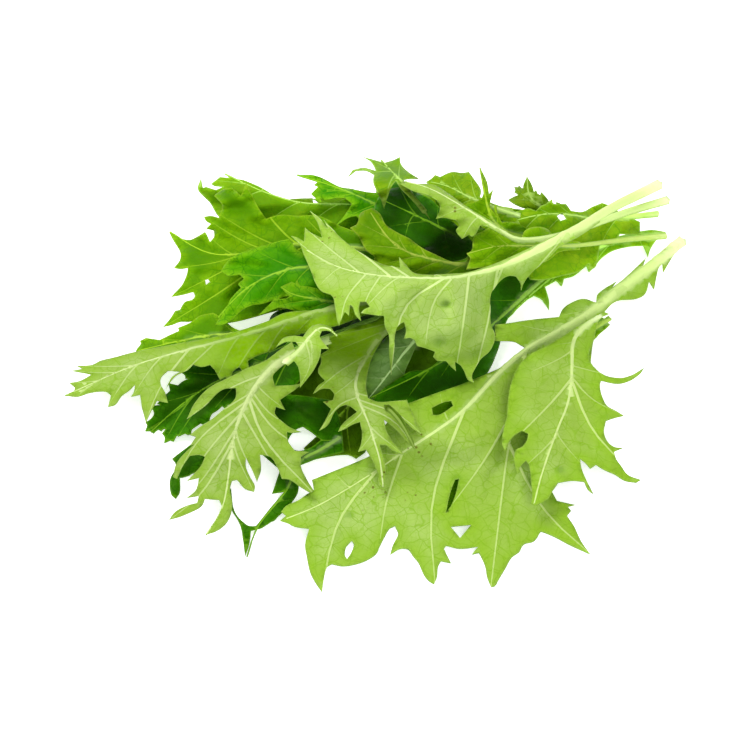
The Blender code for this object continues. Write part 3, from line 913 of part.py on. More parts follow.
                (453, 279, 425, 345, 16, 432, 300), (445, 281, 391, 375, 12, 400, 305),
                (400, 281, 361, 313, 29), (380, 279, 361, 321, 25, 366, 298),
                (365, 277, 340, 326, 24, 345, 298), (340, 271, 318, 288, 32), (450, 277, 400, 258, 44),
                (410, 275, 324, 220, 42, 370, 252), (390, 274, 310, 211, 42, 345, 240),
                (360, 270, 305, 228, 40, 328, 248), (335, 264, 291, 236, 38)],
         edge=[(600, 222), (580, 236), (560, 247), (550, 257), (537, 268), (529, 276), (524, 283),
               (521, 291), (520, 283), (516, 277), (510, 276), (503, 279), (497, 285), (491, 294),
               (490, 310), (491, 325), (495, 335), (494, 343), (489, 352), (481, 359), (475, 369),
               (472, 376), (474, 383), (468, 380), (464, 371), (460, 365), (455, 362), (456, 371),
               (450, 366), (446, 361), (437, 361), (433, 357), (435, 352), (427, 349), (417, 346),
               (414, 340), (410, 338), (404, 339), (406, 331), (404, 322), (398, 326), (395, 335),
               (394, 352), (391, 375), (389, 352), (389, 336), (385, 327), (384, 316), (372, 315),
               (361, 313), (365, 309), (370, 307), (366, 302), (360, 302), (359, 310), (361, 321),
               (356, 316), (352, 306), (350, 305), (349, 316), (345, 312), (341, 320), (339, 326),
               (337, 320), (335, 307), (332, 296), (321, 291), (315, 282), (312, 274), (307, 262),
               (303, 253), (300, 245), (291, 236), (298, 238), (304, 242), (305, 228), (311, 233),
               (322, 238), (318, 224), (310, 211), (320, 219), (328, 229), (324, 220), (334, 231),
               (342, 239), (352, 247), (367, 257), (384, 265), (400, 268), (399, 257), (406, 265),
               (414, 273), (430, 275), (450, 274), (465, 273), (480, 269), (497, 263), (530, 248),
               (560, 233), (600, 212)],
         ripple=0.7),
]


def main():
    for obj in list(bpy.data.objects):
        bpy.data.objects.remove(obj, do_unlink=True)
    heap = HeightMap()
    for leaf in LEAVES:
        flat, triangles = flat_mesh(leaf)
        upper, lower = stacked(leaf, flat, triangles, heap)
        solid_object(leaf, upper, lower, triangles)


main()
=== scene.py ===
"""A bunch of loose mizuna leaves on a pale table: fine leaves, their materials and the stage.

Leaf points are read on a square grid laid over the bunch as it is seen from the front, half way between
level and straight down. A point is (across, down, height): the first two in grid steps, the height in
millimetres over the table. The leaves are listed from the lowest to the highest, and each is lifted until
it clears those under it.
"""

import math

import bpy
import numpy as np
from bpy.props import FloatProperty, FloatVectorProperty, PointerProperty
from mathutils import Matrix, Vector
from mathutils.geometry import delaunay_2d_cdt
from mathutils.kdtree import KDTree


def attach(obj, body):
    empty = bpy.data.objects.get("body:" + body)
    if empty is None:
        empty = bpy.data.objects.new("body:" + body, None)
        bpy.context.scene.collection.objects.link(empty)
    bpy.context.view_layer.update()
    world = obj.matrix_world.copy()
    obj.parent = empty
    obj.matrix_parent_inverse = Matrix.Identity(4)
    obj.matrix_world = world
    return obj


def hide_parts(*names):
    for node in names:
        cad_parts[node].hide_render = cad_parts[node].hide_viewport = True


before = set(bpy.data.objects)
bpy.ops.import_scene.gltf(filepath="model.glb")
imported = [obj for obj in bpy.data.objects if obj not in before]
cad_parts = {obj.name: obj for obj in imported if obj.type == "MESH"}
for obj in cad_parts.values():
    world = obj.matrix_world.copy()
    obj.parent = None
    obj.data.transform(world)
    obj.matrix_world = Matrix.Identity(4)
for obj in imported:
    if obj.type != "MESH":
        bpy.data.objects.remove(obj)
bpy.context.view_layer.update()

bl_info = {
    "name": "Mizuna bunch",
    "version": (1, 0, 0),
    "blender": (4, 5, 0),
    "location": "3D View > Sidebar > Mizuna",
    "description": "Builds a bunch of loose mizuna leaves with its materials and stage",
    "category": "Add Mesh",
}

MM = 0.001

# The grid, and the eye that looks down at half a right angle.
GRID_MIDDLE = 375.0
GRID_STEP = 0.4094  # mm of one grid step at the middle of the table
EYE_DISTANCE = 725.0  # mm from the middle of the table to the eye
EYE_LEVEL = EYE_DISTANCE * math.sin(math.radians(45.0))
EYE = np.array([0.0, -EYE_LEVEL, EYE_LEVEL])
BOX_MIDDLE = np.array([6.0, -1.3, 0.0])  # mm, middle of the bunch's footprint, which becomes the origin

# The stacking of the leaves.
SOLID_BLADE = 0.8  # mm, the blade thickness that the leaves are stacked with
SOLID_EDGE = 0.66  # mm, the same at the rim
EDGE_REACH = 0.1  # mm from the margin that count as the rim
LEAF_GAP = 1.85  # mm kept free between two leaves along the line of sight
MAP_STEP = 1.25  # mm, pitch of the height map that the leaves are stacked on
MAP_HALF = np.array([170.0, 210.0])  # mm from the middle of the map to its sides
MOST_LIFTS = 8
LIFT_ENOUGH = 0.05  # mm of lift that may still be wanting
LIFT_REACH = 9  # map cells over which a lift spreads beyond the place that needs it
GROUND_BAND = 0.8  # mm; what would hang lower than this over the table lies flat on it
GROUND_SHARE = 0.2  # share of its height that such a place keeps
THINNEST = 0.25  # mm between the two faces of a leaf at least
ARCH = 0.8  # mm by which the middle of a blade stays over the table
ARCH_REACH = 8.0  # mm from the margin at which it has risen so far

# Stalks, midribs and lobes.
LINE_STEP = 3.0  # grid steps between the points of a midrib or a lobe's vein
STALK_TAPER = 0.8  # power with which a stalk thins towards the leaf's tip
RIB_THINNING = 0.75  # share of its width that a midrib loses along the blade
THINNEST_STALK = 0.8  # grid steps, least half width of a stalk in the outline
BLADE_START = 12.0  # how quickly a stalk turns into a midrib at the first lobe
STALK_LEAN = 0.5  # how much a bare stalk rises away from the eye, for each mm across it
RIDGE_SHARE = 0.8  # share of the midrib's bulk on the face that looks up
ROOT_REACH = 14.0  # grid steps from the midrib within which a lobe starts on the midrib itself
TIP_SHARE = 0.3  # share of the midrib that the end lobe takes up
LOBE_BREADTH = 0.3  # half width of a lobe's band as a share of its length
NARROWEST_LOBE = 4.0  # grid steps, half width
WIDEST_LOBE = 17.0
WIDEST_TIP = 15.0
WEB_SHARE = 0.5  # share of the lobes' length up to which the blade joins them
SIDE_LOOK = 0.03  # share of the midrib before and after a lobe that gives its direction there
LEAST_HOLE = 6.0  # mm2; a smaller gap between lobes is closed

# Ripples of the blade and frills of its margin.
RIPPLE_LENGTHS = (17.0, 27.0)  # mm, wave lengths of the blades' ripples
RIPPLE_TURN = 1.7  # radians that set the directions of the ripples apart
RIPPLE_FROM_VEIN = 9.0  # mm from a vein at which a ripple has its full height
RIPPLE_FROM_RIB = 14.0  # mm from the midrib at which it has it
LINE_EVENNESS = 9.0  # mm2; the larger, the more evenly a blade's height runs from line to line
FRILL_LENGTHS = (13.0, 7.1)  # mm, wave lengths of the frill along the margin
FRILL_DEPTH = 3.2  # mm from the margin over which the frill dies out
FRILL_FROM_VEIN = 4.0  # mm from a vein at which the frill has its full height

# Veins.
MIDRIB_ROOT = 0.55  # mm, least half width of a midrib's line at its root
MIDRIB_LOSS = 0.3  # mm that it is less at the tip
MAIN_VEIN = 0.56  # mm, half width of a long lobe's vein at its root
LONG_VEIN = 60.0  # mm, length of a lobe whose vein is that wide
VEIN_TAPER = 0.62  # share of its width that a lobe's vein loses up to its tip
VEIN_FADING = 0.35  # share of its clearness that it loses
VEIN_BOW = 0.05  # how far a straight lobe's vein bends towards the leaf's tip, as a share of its length
BOW_ROOT = 0.6  # power that brings the bow nearer to the vein's root
VEIN_LOOK = 4  # points of the midrib before and after a vein that give its direction there
VEIN_STEP = 0.4  # mm between the points that distances to a vein are measured from
BRANCH_STEP = 6.0  # mm between side veins, which leave to either side in turn
BRANCH_END = 0.88  # share of a main vein from which on no side vein leaves it
BRANCH_REACH = (11.0, 21.0)  # mm
BRANCH_SHORTENING = 0.45  # share by which the last side veins are shorter than the first
BRANCH_MIDDLE = (0.36, 0.5)  # way ahead along the main vein and away from it, as shares of the reach
BRANCH_TIP = (0.95, 0.8)
BRANCH_CLEARANCE = 2.5  # mm that a side vein stops before the next main vein
SHORTEST_BRANCH = 3  # points; a side vein with no more is left out
RIB_PALENESS = 1.0  # how pale the midrib is at its root, as a share of the stalk's paleness

# The meshes.
CUSP_TURN = math.radians(48.0)  # a margin that turns more than this has a point there
CLOSEST_POINTS = 0.35  # mm; outline points closer than this become one
HASH_CELL = 2.4  # mm, size of the cells in which near points are looked up
RIM_STEP = 0.7  # step along the margin as a share of the mesh step
ROW_STEP = 0.866  # distance of the rows of even triangles as a share of the mesh step
POINT_GAP = 0.6  # least distance between the blade's points as a share of the mesh step
COVERED_CELL = 2.2  # mm, pitch of the leaves that are mostly covered
EDGE_TAPER = 1.5  # mm; a blade is half as thick at its margin as at half this distance from it
VEIN_HEIGHT = 0.6  # how far a main vein stands proud, as a share of its half width
PROUDEST_VEIN = 0.45  # mm
PROUD_BRANCH = 0.1  # mm by which a side vein stands proud
BRANCH_EDGE = 1.2  # half widths from the middle of a side vein to its foot
SWELL_REACH = 2.2  # mm from a main vein over which the blade swells towards it
BRANCH_SWELL = 0.5  # swelling towards a side vein next to that towards a main vein
BRANCH_SWELL_REACH = 1.3  # mm
PUCKER_LEVEL = 0.4  # swelling at which the blade keeps its height
PUCKER_REACH = 2.0  # mm from the margin at which a pucker has its full depth
UPPER_RELIEF = 0.6  # relief of an upper side next to that of an underside
STALK_EDGE = 1.3  # half widths from the middle of a stalk or midrib to its foot
STALK_SHARPNESS = 3.3  # how sharply its paleness ends there
UPPER_STALK_LOSS = 0.8  # share of its paleness that a stalk lacks on an upper side
UPPER_VEIN_LOSS = 0.7  # the same for veins
HIDDEN_SHADE = 0.6  # share of its brightness that a hidden bare part loses to painted shade
CUP_SHADE_RAMP = (1.7, 0.35)  # slope and start of the painted shade in a cup
RIM_REACH = 12.0  # mm from the margin up to which the rim attribute rises

# How bright a leaf is next to its finish: partly the leaf's own colour, partly painted light and shade.
# Leaves in shade deep in the heap are brightened to stand in for light, and left_shade_leaf is darkened as
# painted shade.
TONES = {
    "right_low_leaf": 1.5, "shade_leaf": 2.8, "inner_grey_leaf": 1.95, "inner_dark_leaf": 1.35,
    "left_shade_leaf": 0.6, "low_left_leaf": 1.25, "back_long_leaf": 1.35, "curly_leaf": 0.9,
    "back_right_leaf": 1.3, "back_top_leaf": 1.2, "back_left_top_leaf": 1.15, "back_left_leaf": 1.08,
    "left_under_leaf": 1.12, "bright_leaf": 1.05, "bright_frond_leaf": 0.9, "back_shade_leaf": 1.25,
    "heart_leaf": 0.78, "star_leaf": 1.25, "left_long_leaf": 0.9, "middle_leaf": 0.9,
    "lower_left_leaf": 0.85, "strap_leaf": 0.62, "crown_leaf": 1.05,
}
# Shares of the midrib between which a turned leaf goes over from its upper side to its underside, and how
# bright the upper side is next to its finish.
TURNS = {
    "left_long_leaf": (0.54, 0.68, 1.0),
    "middle_leaf": (0.42, 0.56, 0.68),
    "lower_left_leaf": (0.0, 0.12, 1.0),
}
NO_TURN = (-1.0, -0.5, 1.0)
# Small cups in a blade: across and down in grid steps, their reach in grid steps and their depth in mm. A cup
# that sinks in gets painted shade.
CUPS = {
    "crown_leaf": ((446, 304, 6, 2.6), (439, 343, 6, 2.8), (385, 262, 5, 1.2), (470, 330, 8, -1.2)),
    "front_leaf": ((350, 515, 4, 1.2), (457, 478, 5, 1.0), (405, 500, 9, -1.0)),
    "front_side_leaf": ((560, 470, 5, 1.0), (585, 400, 7, -1.0)),
    "lower_left_leaf": ((262, 470, 4, 1.4), (250, 420, 7, -1.0)),
}
# How much of a pale stalk shows on leaves whose bare part lies under others; the rest is painted shade, which
# dulls the stalk and its veins and darkens it by HIDDEN_SHADE.
STALK_SHARES = {
    "strap_leaf": 0.0, "heart_leaf": 0.3, "star_leaf": 0.1, "back_shade_leaf": 0.1, "inner_grey_leaf": 0.5,
}
WORN_SPOT = (368, 498)  # grid steps, middle of the specked place on the front leaf


def on_table(points):
    """Where the line of sight through each grid point meets the table, in mm."""
    points = np.asarray(points, float)
    across = (points[:, 0] - GRID_MIDDLE) * GRID_STEP
    up = (GRID_MIDDLE - points[:, 1]) * GRID_STEP
    nearer = 1.0 - up / EYE_DISTANCE
    return np.stack([across / nearer, up * math.sqrt(2.0) / nearer], axis=1)


def lifted(flat, height):
    """The points over the table that hide the given table points from the eye, at these heights."""
    ground = np.column_stack([flat, np.zeros(len(flat))])
    return ground + (EYE - ground) * (height / EYE_LEVEL)[:, None]


def seen_on_table(points):
    """The table points that the given points hide from the eye."""
    share = EYE_LEVEL / (EYE_LEVEL - points[:, 2])
    return EYE[:2] + (points[:, :2] - EYE[:2]) * share[:, None]


def along(line, step):
    """Points at most a step apart along a line, with every value of the line's points carried along."""
    line = np.asarray(line, float)
    made = [line[:1]]
    for start, end in zip(line[:-1], line[1:]):
        count = max(1, math.ceil(np.linalg.norm((end - start)[:2]) / step))
        made.append(start + (end - start) * (np.arange(1, count + 1) / count)[:, None])
    return np.concatenate(made)


def rounded(line, turns=2):
    """The line with its corners cut, ends kept."""
    line = np.asarray(line, float)
    for _ in range(turns):
        first = line[:-1] * 0.75 + line[1:] * 0.25
        second = line[:-1] * 0.25 + line[1:] * 0.75
        inner = np.stack([first, second], axis=1).reshape(-1, line.shape[1])
        line = np.concatenate([line[:1], inner[1:-1], line[-1:]])
    return line


def run_of(line):
    """Share of the line's length passed at each of its points."""
    steps = np.linalg.norm(np.diff(line[:, :2], axis=0), axis=1)
    passed = np.concatenate([[0.0], np.cumsum(steps)])
    return passed / passed[-1]


def length_of(line):
    return np.linalg.norm(np.diff(line[:, :2], axis=0), axis=1).sum()


def at_share(line, share):
    """The line's values at these shares of its length."""
    run = run_of(line)
    return np.stack([np.interp(share, run, line[:, i]) for i in range(line.shape[1])], axis=-1)


def nearest(points, line):
    """Distance to the nearest point of a densely sampled line, and that point's index."""
    gaps = np.linalg.norm(points[:, None, :2] - line[None, :, :2], axis=2)
    index = gaps.argmin(axis=1)
    return gaps[np.arange(len(points)), index], index


def sides_of(line):
    """Unit vectors to the left of the line at each of its points."""
    slope = np.gradient(line[:, :2], axis=0)
    side = np.stack([-slope[:, 1], slope[:, 0]], axis=1)
    return side / (np.linalg.norm(side, axis=1)[:, None] + 1e-9)


def strip(line, half_widths):
    """Outline of a band along the line, as wide on each side as said."""
    side = sides_of(line)
    left = line[:, :2] + side * half_widths[:, None]
    right = line[:, :2] - side * half_widths[:, None]
    return np.concatenate([left, right[::-1]])


# Share of a lobe's length, and its half width there, for a lobe with and one without teeth.
TOOTHED = [(0.0, 0.8), (0.2, 0.95), (0.4, 0.85), (0.5, 0.72), (0.66, 1.05), (0.68, 0.55), (0.8, 0.38),
           (0.9, 0.42), (0.91, 0.2), (1.0, 0.0)]
PLAIN = [(0.0, 0.9), (0.3, 1.0), (0.55, 0.8), (0.8, 0.42), (1.0, 0.0)]
TOOTH_LENGTH = 30.0  # grid steps, the length from which a lobe has teeth


def lobe_outline(line, widest):
    """Outline of a lobe along its line, whose half width is at most the widest."""
    length = np.linalg.norm(line[-1, :2] - line[0, :2])
    half_width = min(max(LOBE_BREADTH * length, NARROWEST_LOBE), widest)
    shape = np.array(TOOTHED if length_of(line) > TOOTH_LENGTH else PLAIN)
    return strip(at_share(line, shape[:, 0]), shape[:, 1] * half_width)


class Leaf:
    """One leaf: its lines in grid steps and millimetres of height, then its surface.

    A lobe is given as its root across and down, its tip as a point, and the bend of its vein, if it has
    one, across and down. The points of the edge and the holes are across and down.
    """

    def __init__(self, name, finish, stalk, rib, lobes, edge=(), holes=(), ripple=1.0, covered=False):
        self.name = name
        self.finish = finish
        self.stalk = stalk
        self.covered = covered
        self.ripple = ripple
        self.holes = [np.asarray(hole, float) for hole in holes]
        self.rib = along(rounded(rib), LINE_STEP)
        self.veins = [self.vein_of(lobe) for lobe in lobes]
        self.bows = [VEIN_BOW if len(lobe) == 5 else 0.0 for lobe in lobes]
        self.first_root = min((run for run, _ in self.veins), default=0.5)
        self.polygons = [np.asarray(edge, float)] if edge else self.lobed_outline()
        self.polygons.append(strip(self.rib, np.maximum(self.half_stalk(), THINNEST_STALK)))
        self.skeleton = self.heights_of_lines()
        self.flat_rib = on_table(self.rib)
        self.seed = sum(ord(letter) for letter in name)

    def half_stalk(self):
        """Half the stalk's width along the midrib, in grid steps."""
        run = run_of(self.rib)
        bladed = np.clip((run - self.first_root) / (1.0 - self.first_root), 0.0, 1.0)
        taper = np.maximum(1.0 - run, 0.02) ** STALK_TAPER
        return taper * (1.0 - RIB_THINNING * bladed) * self.stalk / 2.0 / GRID_STEP

    def vein_of(self, lobe):
        """Share of the midrib at which a lobe's vein leaves it, and the vein's points."""
        root_xy = np.array([lobe[:2]], float)
        _, index = nearest(root_xy, self.rib)
        foot = self.rib[index[0]]
        off = np.linalg.norm(foot[:2] - root_xy[0])
        start = foot if off < ROOT_REACH else np.array([lobe[0], lobe[1], foot[2]])
        tip = np.array(lobe[2:5], float)
        points = [start, tip]
        if len(lobe) > 5:
            points.insert(1, np.array([lobe[5], lobe[6], (start[2] + tip[2]) / 2.0]))
        return run_of(self.rib)[index[0]], along(rounded(points), LINE_STEP)

    def lobed_outline(self):
        """A band for every lobe and for the tip, and webs between neighbours on one side."""
        end = self.rib[run_of(self.rib) >= 1.0 - TIP_SHARE]
        polygons = []
        sides = {1: [], -1: []}
        for run, line in self.veins:
            polygons.append(lobe_outline(line, WIDEST_LOBE))
            spot = at_share(self.rib, run)
            behind = at_share(self.rib, max(run - SIDE_LOOK, 0.0))
            ahead = at_share(self.rib, min(run + SIDE_LOOK, 1.0)) - behind
            away = line[-1] - spot
            side = 1 if ahead[0] * away[1] - ahead[1] * away[0] > 0 else -1
            sides[side].append((run, line))
        polygons.append(lobe_outline(end, WIDEST_TIP))
        for rows in sides.values():
            rows.sort(key=lambda row: row[0])
            lines = [row[1] for row in rows] + [end]
            for one, two in zip(lines[:-1], lines[1:]):
                a, b = at_share(one, WEB_SHARE), at_share(two, WEB_SHARE)
                polygons.append(np.array([one[0, :2], a[:2], b[:2]]))
                polygons.append(np.array([one[0, :2], b[:2], two[0, :2]]))
        return polygons

    def heights_of_lines(self):
        """Points along midrib and veins: two on the table, then the height over it."""
        lines = np.concatenate([self.rib] + [line for _, line in self.veins])
        return np.column_stack([on_table(lines), lines[:, 2]])

    def waves(self, flat, lengths):
        """Sum of plane waves of these lengths, each in its own direction."""
        total = np.zeros(len(flat))
        for turn, length in enumerate(lengths):
            angle = self.seed * (1.0 + turn) * RIPPLE_TURN
            phase = (flat[:, 0] * math.cos(angle) + flat[:, 1] * math.sin(angle)) * 2.0 * math.pi / length
            total += np.sin(phase + self.seed)
        return total

    def height(self, flat, from_rim, rim_run, frill):
        """Height of the leaf's middle surface where the table points are hidden by it."""
        gap, _ = nearest(flat, self.skeleton)
        square = ((flat[:, None, :] - self.skeleton[None, :, :2]) ** 2).sum(axis=2)
        weight = 1.0 / (square + LINE_EVENNESS) ** 2
        height = (weight * self.skeleton[:, 2]).sum(axis=1) / weight.sum(axis=1)
        from_rib, index = nearest(flat, self.flat_rib)
        bare = np.clip((self.first_root - run_of(self.rib)[index]) * BLADE_START, 0.0, 1.0)
        towards_eye = (flat[:, 1] - self.flat_rib[index, 1]) * STALK_LEAN * bare
        free = np.clip(gap / RIPPLE_FROM_VEIN, 0.0, 1.0)
        free = free * np.clip(from_rib / RIPPLE_FROM_RIB, 0.0, 1.0)
        ripple = self.ripple * self.waves(flat, RIPPLE_LENGTHS) * free
        margin = np.exp(-from_rim / FRILL_DEPTH) * np.clip(gap / FRILL_FROM_VEIN, 0.0, 1.0)
        margin = margin * (1.0 - bare)
        turns = [np.sin(rim_run * 2.0 * math.pi / length + self.seed) for length in FRILL_LENGTHS]
        return height + towards_eye + ripple + frill * margin * sum(turns)

    def bulk(self, flat):
        """Thickness of the stalk or midrib, how bare it is, the share passed, and half widths to its side."""
        gap, index = nearest(flat, self.flat_rib)
        run = run_of(self.rib)[index]
        width = self.half_stalk()[index] * GRID_STEP * 2.0
        slope = np.gradient(self.flat_rib, axis=0)[index]
        across = np.abs(slope[:, 0]) / np.linalg.norm(slope, axis=1)
        half = width / 2.0 * (1.0 + (math.sqrt(2.0) - 1.0) * across)
        part = np.clip(gap / half, 0.0, 1.0)
        bare = np.clip((self.first_root - run) * BLADE_START + 0.5, 0.0, 1.0)
        return width * np.sqrt(1.0 - part**2), bare, run, gap / half


def outer_loops(polygons):
    """Loops of points round the shape that the polygons cover together, mm on the table."""
    points, faces = [], []
    for flat in polygons:
        turn = np.sum(flat[:, 0] * np.roll(flat[:, 1], -1) - flat[:, 1] * np.roll(flat[:, 0], -1))
        flat = flat if turn > 0 else flat[::-1]
        faces.append(list(range(len(points), len(points) + len(flat))))
        points += [tuple(spot) for spot in flat]
    made = delaunay_2d_cdt(points, [], faces, 1, 1e-4)
    spots = np.array([tuple(spot) for spot in made[0]])
    triangles = [tuple(face) for face in made[2]]
    while True:
        rim = rim_edges(triangles)
        starts = {}
        for a, b in rim:
            starts.setdefault(a, []).append(b)
        pinched = [a for a, ends in starts.items() if len(ends) > 1]
        if not pinched:
            break
        triangles = without_small_fans(spots, triangles, pinched[0])
    loops = []
    while starts:
        first = next(iter(starts))
        loop = [first]
        spot = starts.pop(first)[0]
        while spot != first:
            loop.append(spot)
            spot = starts.pop(spot)[0]
        loops.append(spots[loop])
    return loops


def rim_edges(triangles):
    """Directed edges that only one triangle has."""
    used = dict.fromkeys(edge for a, b, c in triangles for edge in ((a, b), (b, c), (c, a)))
    return [edge for edge in used if (edge[1], edge[0]) not in used]


def without_small_fans(spots, triangles, corner):
    """The triangles without those round a pinched corner, save the largest fan there."""
    around = [face for face in triangles if corner in face]
    fans = []
    for face in around:
        ends = set(face) - {corner}
        touching = [fan for fan in fans if fan[0] & ends]
        joined = (set(ends), [face])
        for fan in touching:
            joined[0].update(fan[0])
            joined[1].extend(fan[1])
            fans.remove(fan)
        fans.append(joined)

    def area(fan):
        total = 0.0
        for a, b, c in fan[1]:
            one, two = spots[b] - spots[a], spots[c] - spots[a]
            total += abs(one[0] * two[1] - one[1] * two[0])
        return total

    fans.sort(key=area)
    dropped = {face for fan in fans[:-1] for face in fan[1]}
    return [face for face in triangles if face not in dropped]


def area_of(loop):
    ahead = np.roll(loop, -1, axis=0)
    return 0.5 * np.sum(loop[:, 0] * ahead[:, 1] - loop[:, 1] * ahead[:, 0])


def curved(loop, step):
    """The loop as a smooth curve that keeps its sharp points, with points a step apart."""
    points = [loop[0]]
    for spot in loop[1:]:
        if np.linalg.norm(spot - points[-1]) > CLOSEST_POINTS:
            points.append(spot)
    if np.linalg.norm(points[0] - points[-1]) < CLOSEST_POINTS:
        points.pop()
    ring = np.array(points)
    ahead = np.roll(ring, -1, axis=0) - ring
    behind = ring - np.roll(ring, 1, axis=0)
    dot = (ahead * behind).sum(axis=1)
    turn = np.abs(np.arctan2(behind[:, 0] * ahead[:, 1] - behind[:, 1] * ahead[:, 0], dot))
    through = np.roll(ring, -1, axis=0) - np.roll(ring, 1, axis=0)
    through /= np.linalg.norm(through, axis=1)[:, None] + 1e-9
    made = []
    for i, start in enumerate(ring):
        j = (i + 1) % len(ring)
        chord = ring[j] - start
        length = np.linalg.norm(chord)
        leave = chord if turn[i] > CUSP_TURN else through[i] * length
        reach = chord if turn[j] > CUSP_TURN else through[j] * length
        count = max(1, round(length / step))
        t = (np.arange(count) / count)[:, None]
        made.append((2 * t**3 - 3 * t**2 + 1) * start + (t**3 - 2 * t**2 + t) * leave
                    + (3 * t**2 - 2 * t**3) * ring[j] + (t**3 - t**2) * reach)
    return np.concatenate(made)


def inside(points, loops):
    """Which of the points lie in the shape that the loops bound."""
    found = np.zeros(len(points), bool)
    x, y = points[:, 0], points[:, 1]
    for loop in loops:
        for start, end in zip(loop, np.roll(loop, -1, axis=0)):
            spans = (start[1] > y) != (end[1] > y)
            if spans.any():
                reach = (y - start[1]) / (end[1] - start[1] + 1e-12)
                found ^= spans & (x < start[0] + reach * (end[0] - start[0]))
    return found


class Spots:
    """Points of one leaf, each kept away from those that came before."""

    def __init__(self):
        self.cells = {}
        self.rows = []

    def add(self, row, gap):
        """Takes the point in, unless another is closer than the gap."""
        x, y = row[0], row[1]
        cell = (int(x // HASH_CELL), int(y // HASH_CELL))
        for dx in (-1, 0, 1):
            for dy in (-1, 0, 1):
                for other in self.cells.get((cell[0] + dx, cell[1] + dy), ()):
                    if (x - other[0]) ** 2 + (y - other[1]) ** 2 < gap * gap:
                        return
        self.cells.setdefault(cell, []).append(row)
        self.rows.append(row)


class VeinField:
    """A leaf's veins on the table, for points to be measured from.

    A vein's rows hold two on the table, its half width in mm and how clearly it stands out.
    """

    def __init__(self, lines):
        fine = [along(line, VEIN_STEP) for line in lines]
        self.rows = np.concatenate(fine)
        self.owners = np.concatenate([np.full(len(rows), i) for i, rows in enumerate(fine)])
        self.tree = KDTree(len(self.rows))
        for i, row in enumerate(self.rows):
            self.tree.insert((row[0], row[1], 0.0), i)
        self.tree.balance()

    def measure(self, flat):
        """Distance to the nearest vein, that vein's half width and clearness there, and which vein it is."""
        found = [self.tree.find((spot[0], spot[1], 0.0)) for spot in flat]
        gap = np.array([item[2] for item in found])
        index = [item[1] for item in found]
        return gap, self.rows[index, 2], self.rows[index, 3], self.owners[index]


def main_veins(leaf):
    """The midrib and the vein of every lobe."""
    run = run_of(leaf.flat_rib)
    half = np.maximum(leaf.half_stalk() * GRID_STEP, MIDRIB_ROOT - MIDRIB_LOSS * run)
    lines = [np.column_stack([leaf.flat_rib, half, np.ones(len(run))])]
    for (_, line), bow in zip(leaf.veins, leaf.bows):
        flat = on_table(line)
        run = run_of(flat)
        _, index = nearest(flat[:1], leaf.flat_rib)
        behind = leaf.flat_rib[max(index[0] - VEIN_LOOK, 0)]
        ahead = leaf.flat_rib[min(index[0] + VEIN_LOOK, len(leaf.flat_rib) - 1)] - behind
        bend = sides_of(flat[[0, -1]])[0]
        bend = bend * math.copysign(bow * length_of(flat), bend @ ahead)
        flat = flat + np.sin(math.pi * run**BOW_ROOT)[:, None] * bend
        size = min(length_of(flat) / LONG_VEIN, 1.0)
        half = MAIN_VEIN * (0.4 + 0.6 * size) * (1.0 - VEIN_TAPER * run)
        lines.append(np.column_stack([flat, half, (0.35 + 0.5 * size) * (1.0 - VEIN_FADING * run)]))
    return lines


def side_veins(mains, field, seed):
    """Short curved veins that leave the main veins to either side in turn.

    Each stops before the next main vein.
    """
    random = np.random.default_rng(seed)
    made = []
    for number, line in enumerate(mains):
        length = length_of(line)
        side = sides_of(line)
        run = run_of(line)
        turn = 1.0
        passed = BRANCH_STEP * random.uniform(0.5, 1.0)
        while passed < length * BRANCH_END:
            share = passed / length
            start = at_share(line, share)[:2]
            index = min(int(np.searchsorted(run, share)), len(line) - 1)
            ahead = np.array([side[index, 1], -side[index, 0]])
            away = side[index] * turn
            reach = random.uniform(*BRANCH_REACH) * (1.0 - BRANCH_SHORTENING * share)
            middle = start + (ahead * BRANCH_MIDDLE[0] + away * BRANCH_MIDDLE[1]) * reach
            end = start + (ahead * BRANCH_TIP[0] + away * BRANCH_TIP[1]) * reach
            branch = along(rounded(np.array([start, middle, end])), 1.1)
            gap, _, _, owner = field.measure(branch)
            met = np.flatnonzero((owner != number) & (gap < BRANCH_CLEARANCE))
            stop = met[0] if len(met) else len(branch)
            if stop > SHORTEST_BRANCH:
                fade = run_of(branch)[:stop]
                made.append(np.column_stack([branch[:stop], 0.28 - 0.1 * fade, 0.5 - 0.3 * fade]))
            passed += BRANCH_STEP * random.uniform(0.8, 1.25)
            turn = -turn
    return made


def rows_along(lines, step, parts):
    """Points along the lines and at these parts of the half width to both sides."""
    rows = []
    for line in lines:
        fine = at_share(line, np.linspace(0.003, 0.99, max(3, round(length_of(line) / step))))
        side = sides_of(fine) * fine[:, 2:3]
        for part in parts:
            rows.append(fine[:, :2] + side * part)
            if part:
                rows.append(fine[:, :2] - side * part)
    return np.concatenate(rows) if rows else np.zeros((0, 2))


